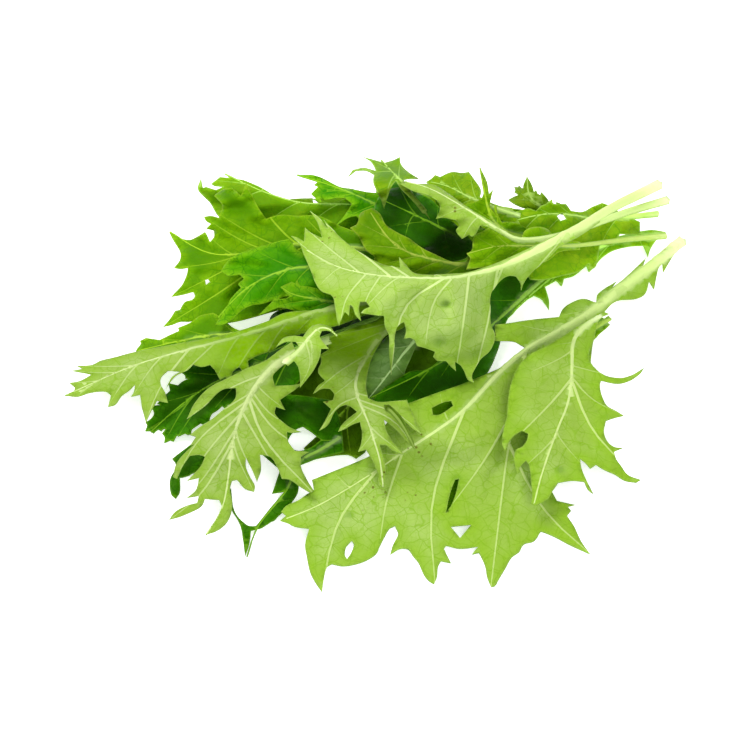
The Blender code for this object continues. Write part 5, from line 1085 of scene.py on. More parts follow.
LEAVES = [
    Leaf("back_under_leaf", "dark", 2.2, covered=True,
        rib=((610, 232, 3), (540, 228, 3), (460, 226, 3), (380, 232, 3), (300, 240, 1), (262, 248, -1)),
        lobes=((540, 228, 500, 262, 0), (500, 227, 470, 206, -1), (460, 226, 420, 262, 0),
               (430, 228, 395, 207, -1), (390, 231, 345, 262, 0), (360, 234, 320, 214, -1),
               (320, 238, 280, 266, 0))),
    Leaf("right_low_leaf", "mid", 2.2, covered=True,
        rib=((665, 236, 4), (630, 238, 5), (600, 247, 5), (570, 262, 4), (545, 283, 3), (520, 305, 2),
             (500, 325, 1)),
        lobes=((640, 238, 648, 257, 0), (615, 243, 589, 272, -1), (590, 252, 563, 286, -1),
               (560, 270, 549, 309, -1, 545, 290), (560, 268, 535, 262, 5), (535, 292, 512, 290, 4)),
        edge=((666, 232), (655, 242), (650, 250), (648, 257), (643, 246), (628, 247), (613, 251),
              (602, 258), (595, 266), (589, 272), (586, 266), (574, 276), (564, 279), (562, 286),
              (556, 281), (545, 287), (549, 300), (549, 310), (542, 300), (534, 296), (522, 303),
              (513, 314), (505, 321), (496, 326), (494, 300), (510, 280), (540, 262), (580, 246),
              (620, 236), (650, 230))),
    # Painted shade: a covered sheet that stands for the shade seen through the gaps under the middle leaves.
    Leaf("shade_leaf", "olive", 2.0, covered=True,
        rib=((440, 325, 8), (400, 360, 7), (365, 390, 5), (330, 425, 3), (304, 449, 1)),
        lobes=((420, 340, 395, 395, 3), (385, 372, 365, 440, 2), (350, 405, 352, 462, 1),
               (330, 425, 318, 462, 1), (420, 340, 355, 345, 10), (390, 366, 320, 375, 8),
               (355, 400, 300, 405, 6), (335, 420, 300, 430, 3)),
        edge=((462, 312), (448, 345), (432, 372), (400, 396), (378, 420), (370, 440), (365, 452),
              (356, 459), (348, 455), (322, 458), (300, 464), (308, 456), (304, 449), (314, 442),
              (320, 436), (310, 427), (296, 426), (285, 424), (277, 410), (272, 395), (285, 380),
              (302, 366), (340, 352), (380, 332), (420, 312))),
    Leaf("inner_grey_leaf", "grey", 2.2,
        rib=((440, 316, 9), (410, 345, 8), (390, 372, 6), (368, 400, 4)),
        lobes=((410, 345, 376, 350, 8), (395, 365, 405, 376, 6), (415, 340, 400, 330, 9),
               (385, 378, 367, 378, 6)),
        edge=((446, 312), (430, 332), (418, 344), (411, 358), (405, 372), (404, 380), (396, 388),
              (384, 396), (369, 401), (366, 392), (366, 378), (369, 362), (377, 348), (386, 338),
              (400, 326), (425, 308))),
    Leaf("inner_dark_leaf", "dark", 2.0,
        rib=((560, 262, 5), (520, 300, 5), (470, 345, 4), (420, 375, 4), (370, 398, 3)),
        lobes=((510, 310, 480, 345, 2), (470, 342, 440, 378, 2), (440, 365, 405, 402, 2),
               (470, 342, 430, 338, 6), (430, 370, 400, 366, 5), (520, 298, 480, 300, 7)),
        edge=((575, 255), (545, 280), (520, 300), (505, 325), (498, 350), (487, 374), (478, 381),
              (462, 394), (446, 392), (425, 407), (410, 403), (395, 408), (380, 405), (370, 404),
              (378, 393), (390, 384), (402, 376), (412, 371), (425, 370), (436, 363), (450, 346),
              (466, 318), (486, 290), (520, 258))),
    # Partly painted shade: a covered dark leaf, made darker still by its tone, that darkens the gaps under
    # the left leaves.
    Leaf("left_shade_leaf", "dark", 2.0, covered=True,
        rib=((400, 306, 8), (360, 316, 8), (320, 330, 7), (285, 346, 5), (262, 356, 4)),
        lobes=((360, 316, 335, 350, 5), (330, 326, 290, 312, 8), (300, 340, 272, 330, 6),
               (310, 334, 300, 364, 4)),
        edge=((402, 298), (370, 300), (340, 302), (300, 306), (278, 311), (270, 318), (269, 330),
              (262, 340), (256, 350), (262, 360), (280, 366), (300, 366), (320, 362), (340, 352),
              (370, 338), (402, 322))),
    Leaf("low_left_leaf", "dark", 2.2,
        rib=((400, 310, 9), (330, 335, 11), (265, 362, 10), (217, 380, 9), (180, 405, 4), (151, 432, -1)),
        lobes=((265, 362, 215, 408, 5), (225, 378, 178, 437, 3), (200, 392, 164, 443, -1),
               (255, 366, 235, 430, 3), (265, 362, 225, 345, 12), (235, 373, 180, 372, 10),
               (205, 387, 157, 404, 5), (190, 398, 145, 431, -1), (300, 350, 262, 420, 5))),
    Leaf("low_sprig_leaf", "dark", 1.8,
        rib=((339, 438, 3), (322, 450, 3), (303, 458, 3), (292, 472, 2), (290, 486, 2), (277, 503, 2),
             (256, 527, 1), (247, 557, 1)),
        lobes=((330, 430, 262, 430, 4), (300, 455, 240, 470, 3), (284, 485, 273, 495, 1),
               (256, 527, 231, 490, 1, 240, 518), (300, 455, 299, 486, 1), (275, 500, 290, 500, 1)),
        edge=((340, 420), (330, 400), (290, 395), (255, 400), (215, 420), (196, 440), (172, 459),
              (176, 466), (170, 480), (171, 494), (176, 499), (180, 492), (180, 478), (187, 476),
              (196, 472), (210, 455), (240, 440), (262, 455), (280, 470), (272, 494), (284, 492),
              (272, 506), (256, 526), (249, 526), (240, 519), (234, 510), (231, 488), (229, 492),
              (231, 508), (240, 525), (243, 540), (245, 557), (249, 545), (251, 531), (262, 528),
              (280, 515), (297, 495), (299, 482), (301, 465), (320, 458), (344, 452)),
        holes=(((288, 441), (296, 430), (303, 427), (312, 433), (321, 440), (310, 448), (299, 451),
               (291, 448)),)),
    Leaf("front_under_leaf", "fresh", 2.2, ripple=0.2,
        rib=((610, 318, 3), (560, 350, 2), (520, 390, 2), (480, 440, 1), (455, 495, 0)),
        lobes=((560, 350, 530, 420, 1), (530, 380, 520, 468, 1), (520, 390, 440, 402, 1),
               (500, 415, 550, 474, 1), (480, 440, 446, 430, 1)),
        edge=((610, 325), (590, 345), (575, 400), (570, 440), (556, 470), (540, 482), (515, 470),
              (500, 480), (480, 500), (462, 512), (446, 515), (444, 490), (436, 450), (428, 420),
              (426, 404), (440, 397), (460, 398), (490, 385), (530, 356), (570, 332), (600, 316))),
    Leaf("front_leaf", "front", 4.4, ripple=0.6,
        rib=((683, 240, 7), (654, 264, 6), (622, 288, 5), (586, 316, 5), (556, 334, 5), (526, 349, 5),
             (495, 376, 5), (466, 410, 5), (440, 429, 4), (403, 452, 4), (378, 470, 3), (346, 490, 3),
             (315, 508, 1), (281, 521, -1)),
        lobes=((622, 288, 596, 303, 9), (600, 304, 560, 316, 8), (560, 331, 514, 324, 9),
               (526, 351, 491, 587, -2, 507, 450), (526, 360, 560, 480, 3, 548, 420),
               (507, 440, 590, 554, -2, 540, 510), (505, 425, 452, 505, 2, 480, 468),
               (466, 411, 435, 584, -2, 428, 500), (403, 454, 380, 540, 0, 386, 500),
               (378, 471, 322, 592, -2, 335, 520), (500, 372, 486, 376, 6), (450, 424, 440, 393, 8),
               (400, 455, 372, 452, 6), (350, 488, 334, 473, 4)),
        edge=((679, 248), (672, 258), (663, 273), (662, 262), (658, 270), (654, 290), (649, 282),
              (645, 294), (636, 299), (617, 301), (607, 309), (598, 322), (592, 350), (590, 380),
              (590, 420), (582, 450), (566, 472), (552, 492), (557, 501), (575, 505), (568, 507),
              (571, 511), (567, 516), (574, 526), (581, 541), (590, 554), (570, 545), (555, 537),
              (541, 531), (534, 541), (524, 544), (519, 552), (512, 557), (505, 569), (499, 579),
              (495, 586), (491, 587), (487, 577), (485, 566), (479, 552), (472, 554), (478, 547),
              (460, 549), (446, 546), (444, 549), (451, 563), (441, 561), (438, 567), (437, 577),
              (434, 584), (429, 581), (424, 575), (418, 562), (413, 556), (409, 549), (400, 549),
              (390, 555), (393, 545), (398, 534), (395, 526), (390, 528), (385, 536), (380, 546),
              (376, 554), (365, 561), (352, 565), (342, 566), (332, 564), (327, 567), (324, 578),
              (322, 592), (315, 582), (310, 572), (307, 558), (305, 545), (309, 529), (295, 527),
              (289, 524), (280, 521), (286, 516), (281, 512), (286, 506), (297, 501), (306, 495),
              (314, 490), (312, 480), (332, 472), (357, 462), (370, 456), (369, 446), (377, 434),
              (390, 420), (402, 407), (418, 400), (440, 392), (460, 385), (482, 376), (500, 368),
              (518, 354), (527, 349), (520, 345), (514, 342), (495, 341), (495, 325), (511, 323),
              (530, 320), (559, 317), (563, 309), (573, 302), (584, 299), (596, 303), (598, 294),
              (617, 281), (612, 288), (626, 277), (646, 258), (642, 268), (655, 256), (664, 252)),
        holes=(((451, 527), (460, 538), (471, 525)), ((432, 408), (433, 415), (439, 415), (446, 411),
               (453, 406), (451, 401), (442, 403)), ((459, 479), (455, 480), (450, 494), (446, 513),
               (451, 506), (456, 493)), ((346, 547), (345, 556), (347, 559), (351, 553), (354, 544),
               (352, 541)))),
    Leaf("front_side_leaf", "front", 1.7, ripple=0.6,
        rib=((600, 316, 8), (584, 326, 8), (572, 341, 8), (572, 363, 8), (570, 400, 7), (556, 432, 7),
             (541, 475, 7), (534, 505, 6)),
        lobes=((572, 341, 555, 345, 8), (573, 366, 625, 380, 6, 595, 372),
               (574, 377, 624, 416, 3, 590, 400), (573, 379, 641, 481, 2, 590, 432),
               (556, 432, 583, 466, 4), (572, 380, 505, 449, 6, 550, 405), (556, 432, 518, 472, 6),
               (572, 350, 525, 375, 8)),
        edge=((604, 312), (609, 314), (600, 319), (596, 330), (594, 340), (589, 353), (589, 358),
              (593, 366), (604, 375), (620, 378), (632, 375), (644, 368), (640, 374), (630, 381),
              (618, 384), (601, 381), (600, 386), (602, 396), (607, 406), (616, 411), (624, 416),
              (612, 419), (606, 421), (604, 432), (607, 441), (614, 447), (623, 448), (614, 452),
              (616, 459), (621, 466), (628, 475), (641, 480), (636, 483), (625, 481), (615, 475),
              (602, 469), (596, 465), (590, 469), (586, 464), (580, 459), (582, 470), (593, 494),
              (588, 490), (577, 468), (568, 465), (561, 471), (572, 480), (584, 482), (572, 481),
              (558, 483), (552, 492), (548, 499), (535, 506), (531, 504), (532, 495), (531, 482),
              (529, 466), (526, 461), (521, 466), (517, 474), (514, 462), (516, 450), (522, 447),
              (527, 440), (528, 434), (522, 431), (514, 436), (508, 444), (505, 451), (502, 444),
              (503, 432), (507, 415), (508, 400), (512, 380), (520, 364), (531, 354), (545, 347),
              (562, 337), (580, 325))),
    Leaf("back_low_leaf", "mid", 2.0, covered=True,
        rib=((560, 222, 6), (480, 208, 10), (400, 204, 13), (320, 208, 12), (250, 222, 9), (215, 240, 4)),
        lobes=((480, 208, 440, 250, 5), (440, 206, 400, 194, 12), (400, 204, 350, 250, 5),
               (350, 206, 315, 200, 11), (320, 208, 280, 250, 4), (280, 215, 240, 205, 8),
               (260, 220, 228, 262, 3))),
    Leaf("back_long_leaf", "mid", 2.4,
        rib=((540, 222, 14), (500, 226, 18), (457, 226, 20), (427, 221, 22), (382, 206, 26),
             (340, 204, 26), (300, 204, 25), (262, 192, 25), (225, 174, 26)),
        lobes=((457, 226, 420, 195, 28), (382, 206, 345, 196, 30), (457, 226, 400, 250, 14),
               (400, 214, 350, 240, 16), (340, 204, 300, 232, 16), (300, 204, 262, 226, 16),
               (262, 192, 215, 215, 16), (250, 186, 202, 180, 24), (300, 204, 262, 188, 27)),
        edge=((540, 212), (500, 206), (462, 192), (436, 197), (410, 190), (396, 196), (376, 193),
              (352, 196), (337, 202), (320, 206), (300, 205), (288, 202), (277, 197), (260, 187),
              (243, 180), (236, 179), (225, 174), (229, 178), (220, 177), (211, 184), (214, 186),
              (223, 187), (216, 190), (206, 187), (203, 188), (201, 178), (198, 190), (210, 203),
              (219, 217), (240, 230), (270, 235), (300, 240), (340, 245), (390, 252), (420, 262),
              (466, 262), (500, 250), (540, 234))),
    Leaf("curly_leaf", "mid", 2.0, covered=True,
        rib=((570, 213, 12), (555, 212, 15), (540, 208, 20), (528, 195, 26), (527, 177, 32)),
        lobes=((540, 208, 514, 187, 27), (534, 200, 508, 200, 22), (545, 211, 541, 192, 26),
               (535, 202, 536, 190, 29), (555, 213, 520, 218, 16), (565, 213, 556, 202, 20))),
    Leaf("back_right_leaf", "mid", 2.6,
        rib=((658, 214, 9), (630, 217, 10), (595, 220, 13), (566, 214, 16), (541, 214, 18), (510, 222, 18)),
        lobes=((600, 224, 604, 202, 18), (575, 216, 552, 199, 22), (550, 214, 530, 202, 22),
               (590, 222, 570, 245, 8), (566, 215, 540, 240, 10), (541, 216, 515, 242, 12),
               (620, 230, 600, 246, 6)),
        edge=((640, 235), (620, 234), (612, 246), (600, 244), (596, 266), (589, 271), (589, 264),
              (578, 272), (562, 276), (545, 280), (530, 280), (520, 262), (512, 242), (504, 222),
              (506, 212), (515, 212), (528, 208), (536, 211), (541, 206), (546, 204), (552, 199),
              (553, 204), (566, 204), (571, 211), (582, 212), (592, 207), (602, 203), (610, 206),
              (622, 214), (640, 222)),
        holes=(((557, 216), (560, 221), (566, 219), (562, 213)),)),
    Leaf("back_top_leaf", "mid", 2.2,
        rib=((520, 216, 20), (500, 210, 24), (470, 198, 29), (448, 186, 32), (430, 182, 33)),
        lobes=((480, 202, 470, 173, 36), (465, 195, 452, 173, 36), (455, 190, 436, 176, 34),
               (490, 208, 455, 222, 22), (475, 200, 445, 214, 24)),
        edge=((520, 224), (500, 222), (470, 232), (440, 224), (436, 206), (434, 192), (426, 182),
              (431, 179), (435, 175), (440, 177), (452, 172), (462, 173), (469, 172), (474, 179),
              (481, 190), (480, 197), (492, 205), (512, 208))),
    Leaf("back_finger_leaf", "fresh", 2.0,
        rib=((525, 236, 22), (510, 234, 26), (495, 225, 30), (487, 208, 34), (480, 168, 42)),
        lobes=((500, 228, 497, 204, 32), (495, 221, 493, 190, 36), (500, 230, 468, 205, 32),
               (500, 230, 470, 226, 28)),
        edge=((530, 245), (530, 230), (512, 222), (502, 223), (498, 215), (496, 204), (494, 208),
              (497, 217), (490, 207), (491, 199), (493, 190), (489, 194), (487, 182), (480, 167),
              (483, 182), (483, 195), (478, 201), (466, 204), (462, 215), (480, 226), (505, 240))),
    Leaf("back_left_top_leaf", "bright", 2.2,
        rib=((440, 228, 24), (420, 226, 26), (376, 205, 30), (345, 190, 32), (297, 175, 32)),
        lobes=((400, 218, 376, 196, 32), (360, 197, 318, 188, 32), (345, 190, 311, 195, 30),
               (376, 205, 334, 227, 24, 352, 214), (400, 218, 372, 240, 22), (355, 195, 316, 203, 28),
               (376, 205, 400, 190, 34)),
        edge=((440, 234), (420, 238), (400, 250), (380, 245), (366, 226), (356, 216), (348, 218),
              (334, 228), (345, 215), (352, 204), (345, 198), (336, 198), (325, 200), (320, 198),
              (322, 203), (311, 199), (316, 199), (311, 194), (318, 187), (314, 185), (318, 182),
              (310, 177), (297, 175), (312, 175), (322, 178), (340, 187), (352, 189), (366, 192),
              (376, 193), (376, 182), (390, 180), (400, 180), (412, 186), (430, 205), (440, 218))),
    Leaf("back_left_leaf", "fresh", 2.6,
        rib=((400, 250, 22), (380, 250, 24), (330, 246, 26), (275, 244, 26), (242, 255, 22),
             (206, 255, 17), (170, 232, 14)),
        lobes=((300, 243, 246, 184, 34), (280, 244, 220, 215, 28), (262, 248, 205, 218, 24),
               (235, 255, 205, 233, 20), (262, 249, 174, 268, 14, 215, 264),
               (265, 249, 171, 297, 10, 215, 276), (285, 246, 164, 327, 8, 225, 290),
               (310, 245, 235, 300, 12), (340, 246, 300, 212, 32)),
        edge=((400, 262), (380, 280), (330, 300), (280, 310), (235, 322), (210, 324), (196, 321),
              (188, 322), (180, 322), (172, 325), (163, 327), (170, 319), (175, 311), (180, 310),
              (185, 302), (192, 300), (195, 296), (193, 292), (182, 295), (171, 297), (182, 285),
              (187, 274), (188, 268), (180, 269), (174, 268), (180, 260), (180, 252), (173, 240),
              (169, 232), (175, 234), (182, 239), (190, 240), (197, 237), (205, 232), (207, 235),
              (210, 242), (214, 237), (214, 231), (206, 229), (211, 224), (206, 221), (204, 217),
              (211, 216), (219, 218), (222, 205), (214, 196), (222, 190), (232, 188), (241, 196),
              (246, 183), (251, 193), (258, 207), (266, 219), (280, 215), (296, 216), (318, 216),
              (340, 226), (370, 236), (400, 240)),
        holes=(((205, 280), (206, 285), (210, 282), (208, 279)),)),
    Leaf("left_under_leaf", "fresh", 2.2, covered=True,
        rib=((275, 334, 12), (240, 335, 10), (211, 335, 8), (175, 342, 5), (137, 351, -1)),
        lobes=((240, 335, 213, 313, 10), (215, 335, 178, 328, 7), (190, 339, 146, 338, 4),
               (240, 335, 225, 352, 8), (211, 335, 190, 362, 5), (190, 339, 160, 364, 2)),
        edge=((275, 340), (262, 342), (245, 346), (230, 352), (190, 362), (160, 366), (140, 360),
              (136, 351), (141, 344), (140, 341), (146, 338), (160, 340), (170, 335), (179, 331),
              (178, 328), (190, 323), (200, 316), (213, 313), (222, 318), (232, 327), (242, 331),
              (258, 331), (275, 328))),
    Leaf("bright_leaf", "bright", 2.6,
        rib=((400, 275, 26), (360, 272, 27), (325, 268, 28), (288, 268, 27), (255, 282, 21),
             (235, 298, 15), (218, 318, 10)),
        lobes=((330, 270, 287, 240, 32), (300, 268, 255, 251, 27), (270, 276, 222, 271, 20),
               (248, 288, 240, 283, 16), (330, 272, 318, 296, 18), (310, 270, 285, 298, 17),
               (290, 268, 262, 303, 15), (262, 280, 232, 316, 10)),
        edge=((400, 284), (370, 300), (340, 312), (312, 300), (290, 296), (275, 300), (262, 304),
              (250, 306), (240, 312), (232, 320), (222, 325), (215, 325), (221, 316), (227, 308),
              (230, 300), (236, 293), (241, 288), (238, 284), (244, 279), (240, 275), (228, 276),
              (221, 271), (226, 263), (236, 255), (250, 250), (262, 246), (280, 241), (290, 239),
              (300, 252), (330, 258), (370, 264), (400, 266))),
    Leaf("bright_frond_leaf", "bright", 2.0,
        rib=((362, 305, 25), (335, 303, 27), (310, 298, 28), (292, 295, 27), (281, 287, 26)),
        lobes=((322, 300, 297, 280, 29, 306, 289), (318, 302, 258, 316, 20, 285, 303),
               (332, 304, 300, 313, 23)),
        edge=((362, 312), (345, 318), (330, 321), (318, 318), (300, 313), (288, 309), (279, 308),
              (268, 312), (258, 316), (266, 308), (272, 302), (275, 299), (286, 299), (290, 296),
              (284, 291), (281, 287), (287, 284), (292, 282), (296, 284), (297, 280), (300, 286),
              (310, 287), (322, 290), (340, 294), (362, 298))),
    # Partly painted shade: a dark leaf laid where the back of the heap lies in shade.
    Leaf("back_shade_leaf", "dark", 2.0,
        rib=((466, 240, 27), (445, 230, 28), (425, 220, 29), (402, 209, 30), (382, 200, 30)),
        lobes=((430, 223, 388, 227, 27), (420, 217, 398, 184, 30), (445, 231, 452, 256, 24),
               (415, 216, 404, 242, 27), (440, 228, 438, 204, 29)),
        edge=((474, 244), (466, 258), (450, 262), (425, 262), (400, 250), (385, 236), (374, 216),
              (377, 200), (388, 190), (402, 187), (418, 193), (434, 202), (448, 218), (462, 230))),
    Leaf("heart_leaf", "yellow", 2.4,
        rib=((520, 255, 20), (500, 260, 22), (465, 266, 25), (430, 260, 27), (400, 250, 29),
             (385, 235, 31), (370, 212, 34)),
        lobes=((430, 260, 412, 222, 32), (410, 253, 396, 230, 33), (400, 250, 357, 222, 31),
               (405, 251, 352, 245, 28), (420, 257, 372, 268, 24), (440, 263, 395, 283, 21),
               (465, 266, 425, 290, 20), (465, 266, 440, 238, 26)),
        edge=((520, 262), (500, 274), (470, 282), (430, 285), (400, 275), (375, 262), (374, 257),
              (366, 250), (358, 236), (350, 228), (357, 224), (361, 213), (372, 208), (380, 214),
              (386, 225), (398, 233), (408, 238), (422, 248), (438, 256), (452, 262), (466, 262),
              (470, 254), (480, 246), (500, 248), (520, 248))),
    Leaf("star_leaf", "mid", 2.2,
        rib=((425, 212, 30), (415, 200, 34), (405, 185, 38), (392, 172, 41), (381, 160, 42)),
        lobes=((400, 180, 402, 157, 43), (405, 183, 418, 179, 38), (395, 174, 363, 157, 44),
               (392, 172, 348, 177, 40), (395, 176, 384, 209, 28)),
        edge=((430, 219), (419, 208), (409, 197), (401, 189), (396, 181), (392, 186), (388, 196),
              (384, 209), (381, 200), (376, 190), (373, 181), (374, 175), (366, 171), (356, 171),
              (348, 177), (353, 170), (364, 168), (376, 171), (371, 162), (363, 157), (374, 160),
              (384, 163), (394, 160), (400, 157), (401, 164), (407, 171), (419, 179), (410, 179),
              (404, 180), (406, 186), (413, 195), (422, 206))),
    Leaf("right_mid_leaf", "yellow", 2.6,
        rib=((666, 236, 13), (620, 240, 17), (580, 246, 20), (545, 246, 24), (520, 246, 26),
             (495, 246, 26), (467, 254, 24)),
        lobes=((545, 246, 530, 230, 29), (510, 246, 490, 228, 28), (495, 246, 475, 236, 27),
               (526, 248, 500, 264, 20), (505, 246, 480, 264, 22), (560, 246, 545, 258, 18)),
        edge=((580, 250), (560, 252), (545, 262), (520, 262), (500, 266), (478, 268), (466, 270),
              (470, 258), (467, 254), (472, 250), (474, 236), (482, 232), (490, 227), (498, 231),
              (508, 238), (520, 243), (524, 232), (530, 228), (540, 227), (548, 230), (556, 238),
              (580, 242))),
    Leaf("upper_mid_leaf", "pale", 3.4,
        rib=((668, 200, 13), (620, 214, 18), (570, 234, 24), (521, 242, 28), (500, 231, 32),
             (478, 217, 35), (453, 201, 38), (427, 187, 38), (405, 182, 37)),
        lobes=((500, 231, 490, 222, 34), (478, 217, 462, 239, 28), (490, 223, 474, 237, 28),
               (465, 208, 437, 219, 31), (500, 231, 505, 240, 28)),
        edge=((560, 240), (540, 245), (521, 244), (510, 240), (497, 232), (487, 227), (480, 226),
              (476, 234), (472, 237), (469, 235), (462, 239), (456, 231), (459, 225), (455, 220),
              (442, 218), (436, 219), (440, 208), (437, 201), (427, 195), (415, 192), (407, 188),
              (400, 184), (407, 183), (417, 184), (427, 184), (436, 186), (450, 195), (470, 209),
              (487, 219), (497, 225), (506, 233), (521, 240), (540, 238), (560, 234))),
    Leaf("left_long_leaf", "pale", 3.4,
        rib=((420, 290, 26), (380, 299, 26), (350, 304, 25), (319, 313, 23), (285, 323, 20),
             (241, 337, 17), (187, 350, 14), (140, 363, 11), (100, 380, 8), (65, 396, 5)),
        lobes=((319, 313, 290, 340, 14), (290, 322, 258, 370, 12), (270, 328, 231, 380, 11),
               (241, 337, 218, 376, 10), (215, 344, 168, 388, 7, 192, 365),
               (190, 349, 146, 422, 4, 160, 385), (165, 355, 133, 396, 6), (140, 363, 108, 407, 4),
               (110, 376, 78, 396, 5), (100, 380, 68, 383, 7), (120, 370, 71, 371, 8),
               (140, 362, 76, 366, 9), (300, 318, 290, 313, 22), (241, 337, 236, 331, 19)),
        edge=((420, 300), (380, 310), (340, 325), (318, 330), (295, 336), (285, 340), (275, 349),
              (266, 353), (255, 357), (248, 361), (249, 368), (252, 376), (245, 375), (239, 367),
              (233, 372), (231, 381), (225, 377), (220, 380), (215, 371), (210, 365), (202, 367),
              (193, 365), (188, 370), (176, 376), (168, 386), (166, 389), (172, 377), (180, 372),
              (168, 371), (161, 378), (161, 385), (165, 392), (168, 403), (157, 401), (152, 410),
              (146, 423), (142, 408), (140, 395), (131, 397), (134, 392), (135, 385), (129, 391),
              (122, 396), (115, 405), (108, 407), (111, 396), (106, 392), (97, 392), (87, 394), (78, 397),
              (65, 396), (73, 393), (75, 388), (69, 383), (80, 381), (91, 375), (82, 373), (71, 371),
              (82, 369), (76, 366), (92, 365), (100, 361), (112, 358), (135, 352), (160, 347), (187, 342),
              (220, 336), (245, 329), (268, 321), (285, 313), (319, 310), (350, 298), (380, 290),
              (420, 282))),
    Leaf("middle_leaf", "pale", 3.2,
        rib=((440, 302, 30), (420, 308, 30), (400, 316, 29), (383, 332, 27), (368, 352, 23),
             (354, 380, 19), (358, 400, 16), (368, 421, 12), (374, 440, 9), (381, 463, 6), (383, 487, 3)),
        lobes=((400, 316, 337, 335, 27), (385, 330, 320, 357, 20, 350, 345),
               (366, 354, 314, 394, 15, 338, 372), (356, 374, 324, 402, 14),
               (358, 398, 320, 431, 12, 338, 404), (362, 410, 339, 432, 11), (371, 432, 358, 452, 9),
               (356, 392, 408, 402, 17), (360, 400, 421, 434, 14, 400, 414),
               (362, 404, 415, 450, 11, 396, 420), (368, 421, 404, 455, 8), (380, 333, 372, 360, 23)),
        edge=((440, 310), (420, 318), (400, 330), (386, 336), (380, 344), (372, 358), (368, 372),
              (366, 386), (368, 398), (378, 402), (396, 401), (407, 400), (409, 406), (413, 414),
              (417, 425), (421, 434), (413, 429), (404, 421), (396, 417), (403, 427), (410, 438),
              (415, 450), (406, 441), (395, 429), (384, 420), (387, 432), (395, 444), (404, 455),
              (393, 451), (386, 445), (380, 445), (383, 456), (386, 470), (385, 481), (382, 488),
              (378, 481), (377, 472), (372, 460), (366, 450), (358, 452), (361, 444), (362, 434),
              (360, 422), (352, 425), (345, 429), (338, 432), (341, 426), (348, 419), (357, 412),
              (351, 407), (345, 405), (340, 407), (334, 413), (328, 425), (319, 431), (325, 421),
              (331, 409), (323, 402), (333, 400), (334, 394), (330, 389), (322, 389), (313, 394),
              (318, 386), (325, 381), (318, 372), (321, 362), (320, 355), (328, 350), (327, 338),
              (337, 334), (355, 327), (377, 320), (400, 300), (440, 294))),
    Leaf("lower_left_leaf", "pale", 3.4,
        rib=((330, 340, 24), (310, 347, 23), (292, 356, 22), (273, 367, 21), (254, 389, 17),
             (240, 415, 13), (232, 443, 8), (228, 483, 4), (222, 512, 2), (206, 535, 0)),
        lobes=((270, 371, 304, 383, 16), (258, 384, 285, 410, 12), (252, 393, 301, 431, 10, 270, 416),
               (250, 397, 309, 452, 8, 272, 430), (250, 400, 313, 493, 4, 262, 440),
               (240, 412, 282, 479, 5, 258, 440), (236, 425, 258, 482, 4), (234, 436, 254, 492, 3),
               (268, 373, 187, 419, 10, 230, 387), (252, 392, 191, 435, 9, 220, 412),
               (246, 400, 180, 470, 6, 200, 436), (240, 412, 188, 482, 5, 208, 450),
               (236, 428, 187, 498, 3, 206, 476), (233, 440, 170, 520, 1, 204, 494)),
        edge=((296, 352), (288, 362), (278, 370), (273, 376), (275, 386), (295, 385), (305, 382),
              (292, 392), (280, 400), (285, 410), (276, 407), (275, 414), (285, 424), (293, 429),
              (301, 432), (292, 433), (287, 432), (288, 441), (295, 451), (309, 452), (301, 457),
              (301, 467), (307, 480), (314, 491), (310, 493), (300, 487), (290, 480), (282, 479),
              (277, 467), (270, 457), (260, 455), (261, 470), (257, 482), (252, 470), (246, 458),
              (246, 467), (250, 477), (255, 486), (254, 492), (245, 489), (237, 480), (232, 481),
              (230, 490), (232, 501), (231, 514), (225, 525), (215, 532), (206, 535), (212, 527),
              (220, 517), (222, 507), (219, 500), (205, 499), (202, 506), (194, 511), (180, 517),
              (169, 520), (175, 512), (186, 506), (197, 503), (199, 496), (187, 498), (196, 490),
              (199, 478), (187, 481), (193, 475), (201, 466), (205, 457), (199, 455), (190, 456),
              (183, 466), (177, 479), (173, 477), (176, 465), (184, 454), (195, 444), (190, 446),
              (196, 437), (190, 435), (200, 427), (211, 420), (223, 410), (235, 399), (236, 388),
              (222, 390), (204, 407), (187, 419), (195, 403), (209, 388), (230, 377), (248, 368),
              (265, 361), (280, 350), (292, 342))),
    Leaf("strap_leaf", "mid", 1.2, ripple=0.2,
        rib=((388, 409, 16), (396, 416, 16), (403, 426, 14), (409, 437, 11), (415, 449, 8)),
        lobes=((388, 409, 386, 406, 16),),
        edge=((384, 405), (389, 405), (394, 409), (400, 415), (405, 422), (409, 431), (413, 440),
              (416, 449), (411, 445), (407, 437), (402, 428), (396, 420), (390, 414), (385, 410))),
    Leaf("curled_leaf", "pale", 1.8, ripple=0.3,
        rib=((284, 362, 18), (298, 352, 22), (309, 338, 27), (318, 328, 29), (328, 328, 29),
             (337, 336, 27)),
        lobes=((309, 338, 314, 352, 25), (310, 340, 312, 366, 20), (308, 342, 300, 386, 13, 312, 364),
               (302, 342, 278, 346, 21), (318, 330, 328, 348, 25)),
        edge=((288, 366), (282, 362), (290, 355), (299, 347), (296, 342), (286, 342), (276, 347),
              (284, 338), (295, 336), (303, 337), (311, 327), (320, 324), (330, 327), (337, 336),
              (329, 331), (322, 331), (320, 337), (329, 349), (321, 349), (320, 357), (314, 370),
              (309, 377), (300, 388), (300, 378), (298, 367), (294, 361))),
    Leaf("crown_leaf", "pale", 4.2, ripple=0.7,
        rib=((660, 184, 20), (644, 192, 22), (613, 207, 26), (576, 230, 31), (546, 246, 34),
             (506, 266, 38), (478, 274, 41), (453, 279, 43), (415, 279, 44), (376, 276, 44),
             (338, 269, 42), (304, 249, 38)),
        lobes=((566, 238, 521, 290, 25, 540, 264), (504, 271, 494, 335, 20, 490, 300),
               (500, 273, 473, 383, 9, 486, 330), (470, 280, 456, 371, 12, 462, 330),
               (453, 279, 425, 345, 16, 432, 300), (445, 281, 391, 375, 12, 400, 305),
               (400, 281, 361, 313, 29), (380, 279, 361, 321, 25, 366, 298),
               (365, 277, 340, 326, 24, 345, 298), (340, 271, 318, 288, 32), (450, 277, 400, 258, 44),
               (410, 275, 324, 220, 42, 370, 252), (390, 274, 310, 211, 42, 345, 240),
               (360, 270, 305, 228, 40, 328, 248), (335, 264, 291, 236, 38)),
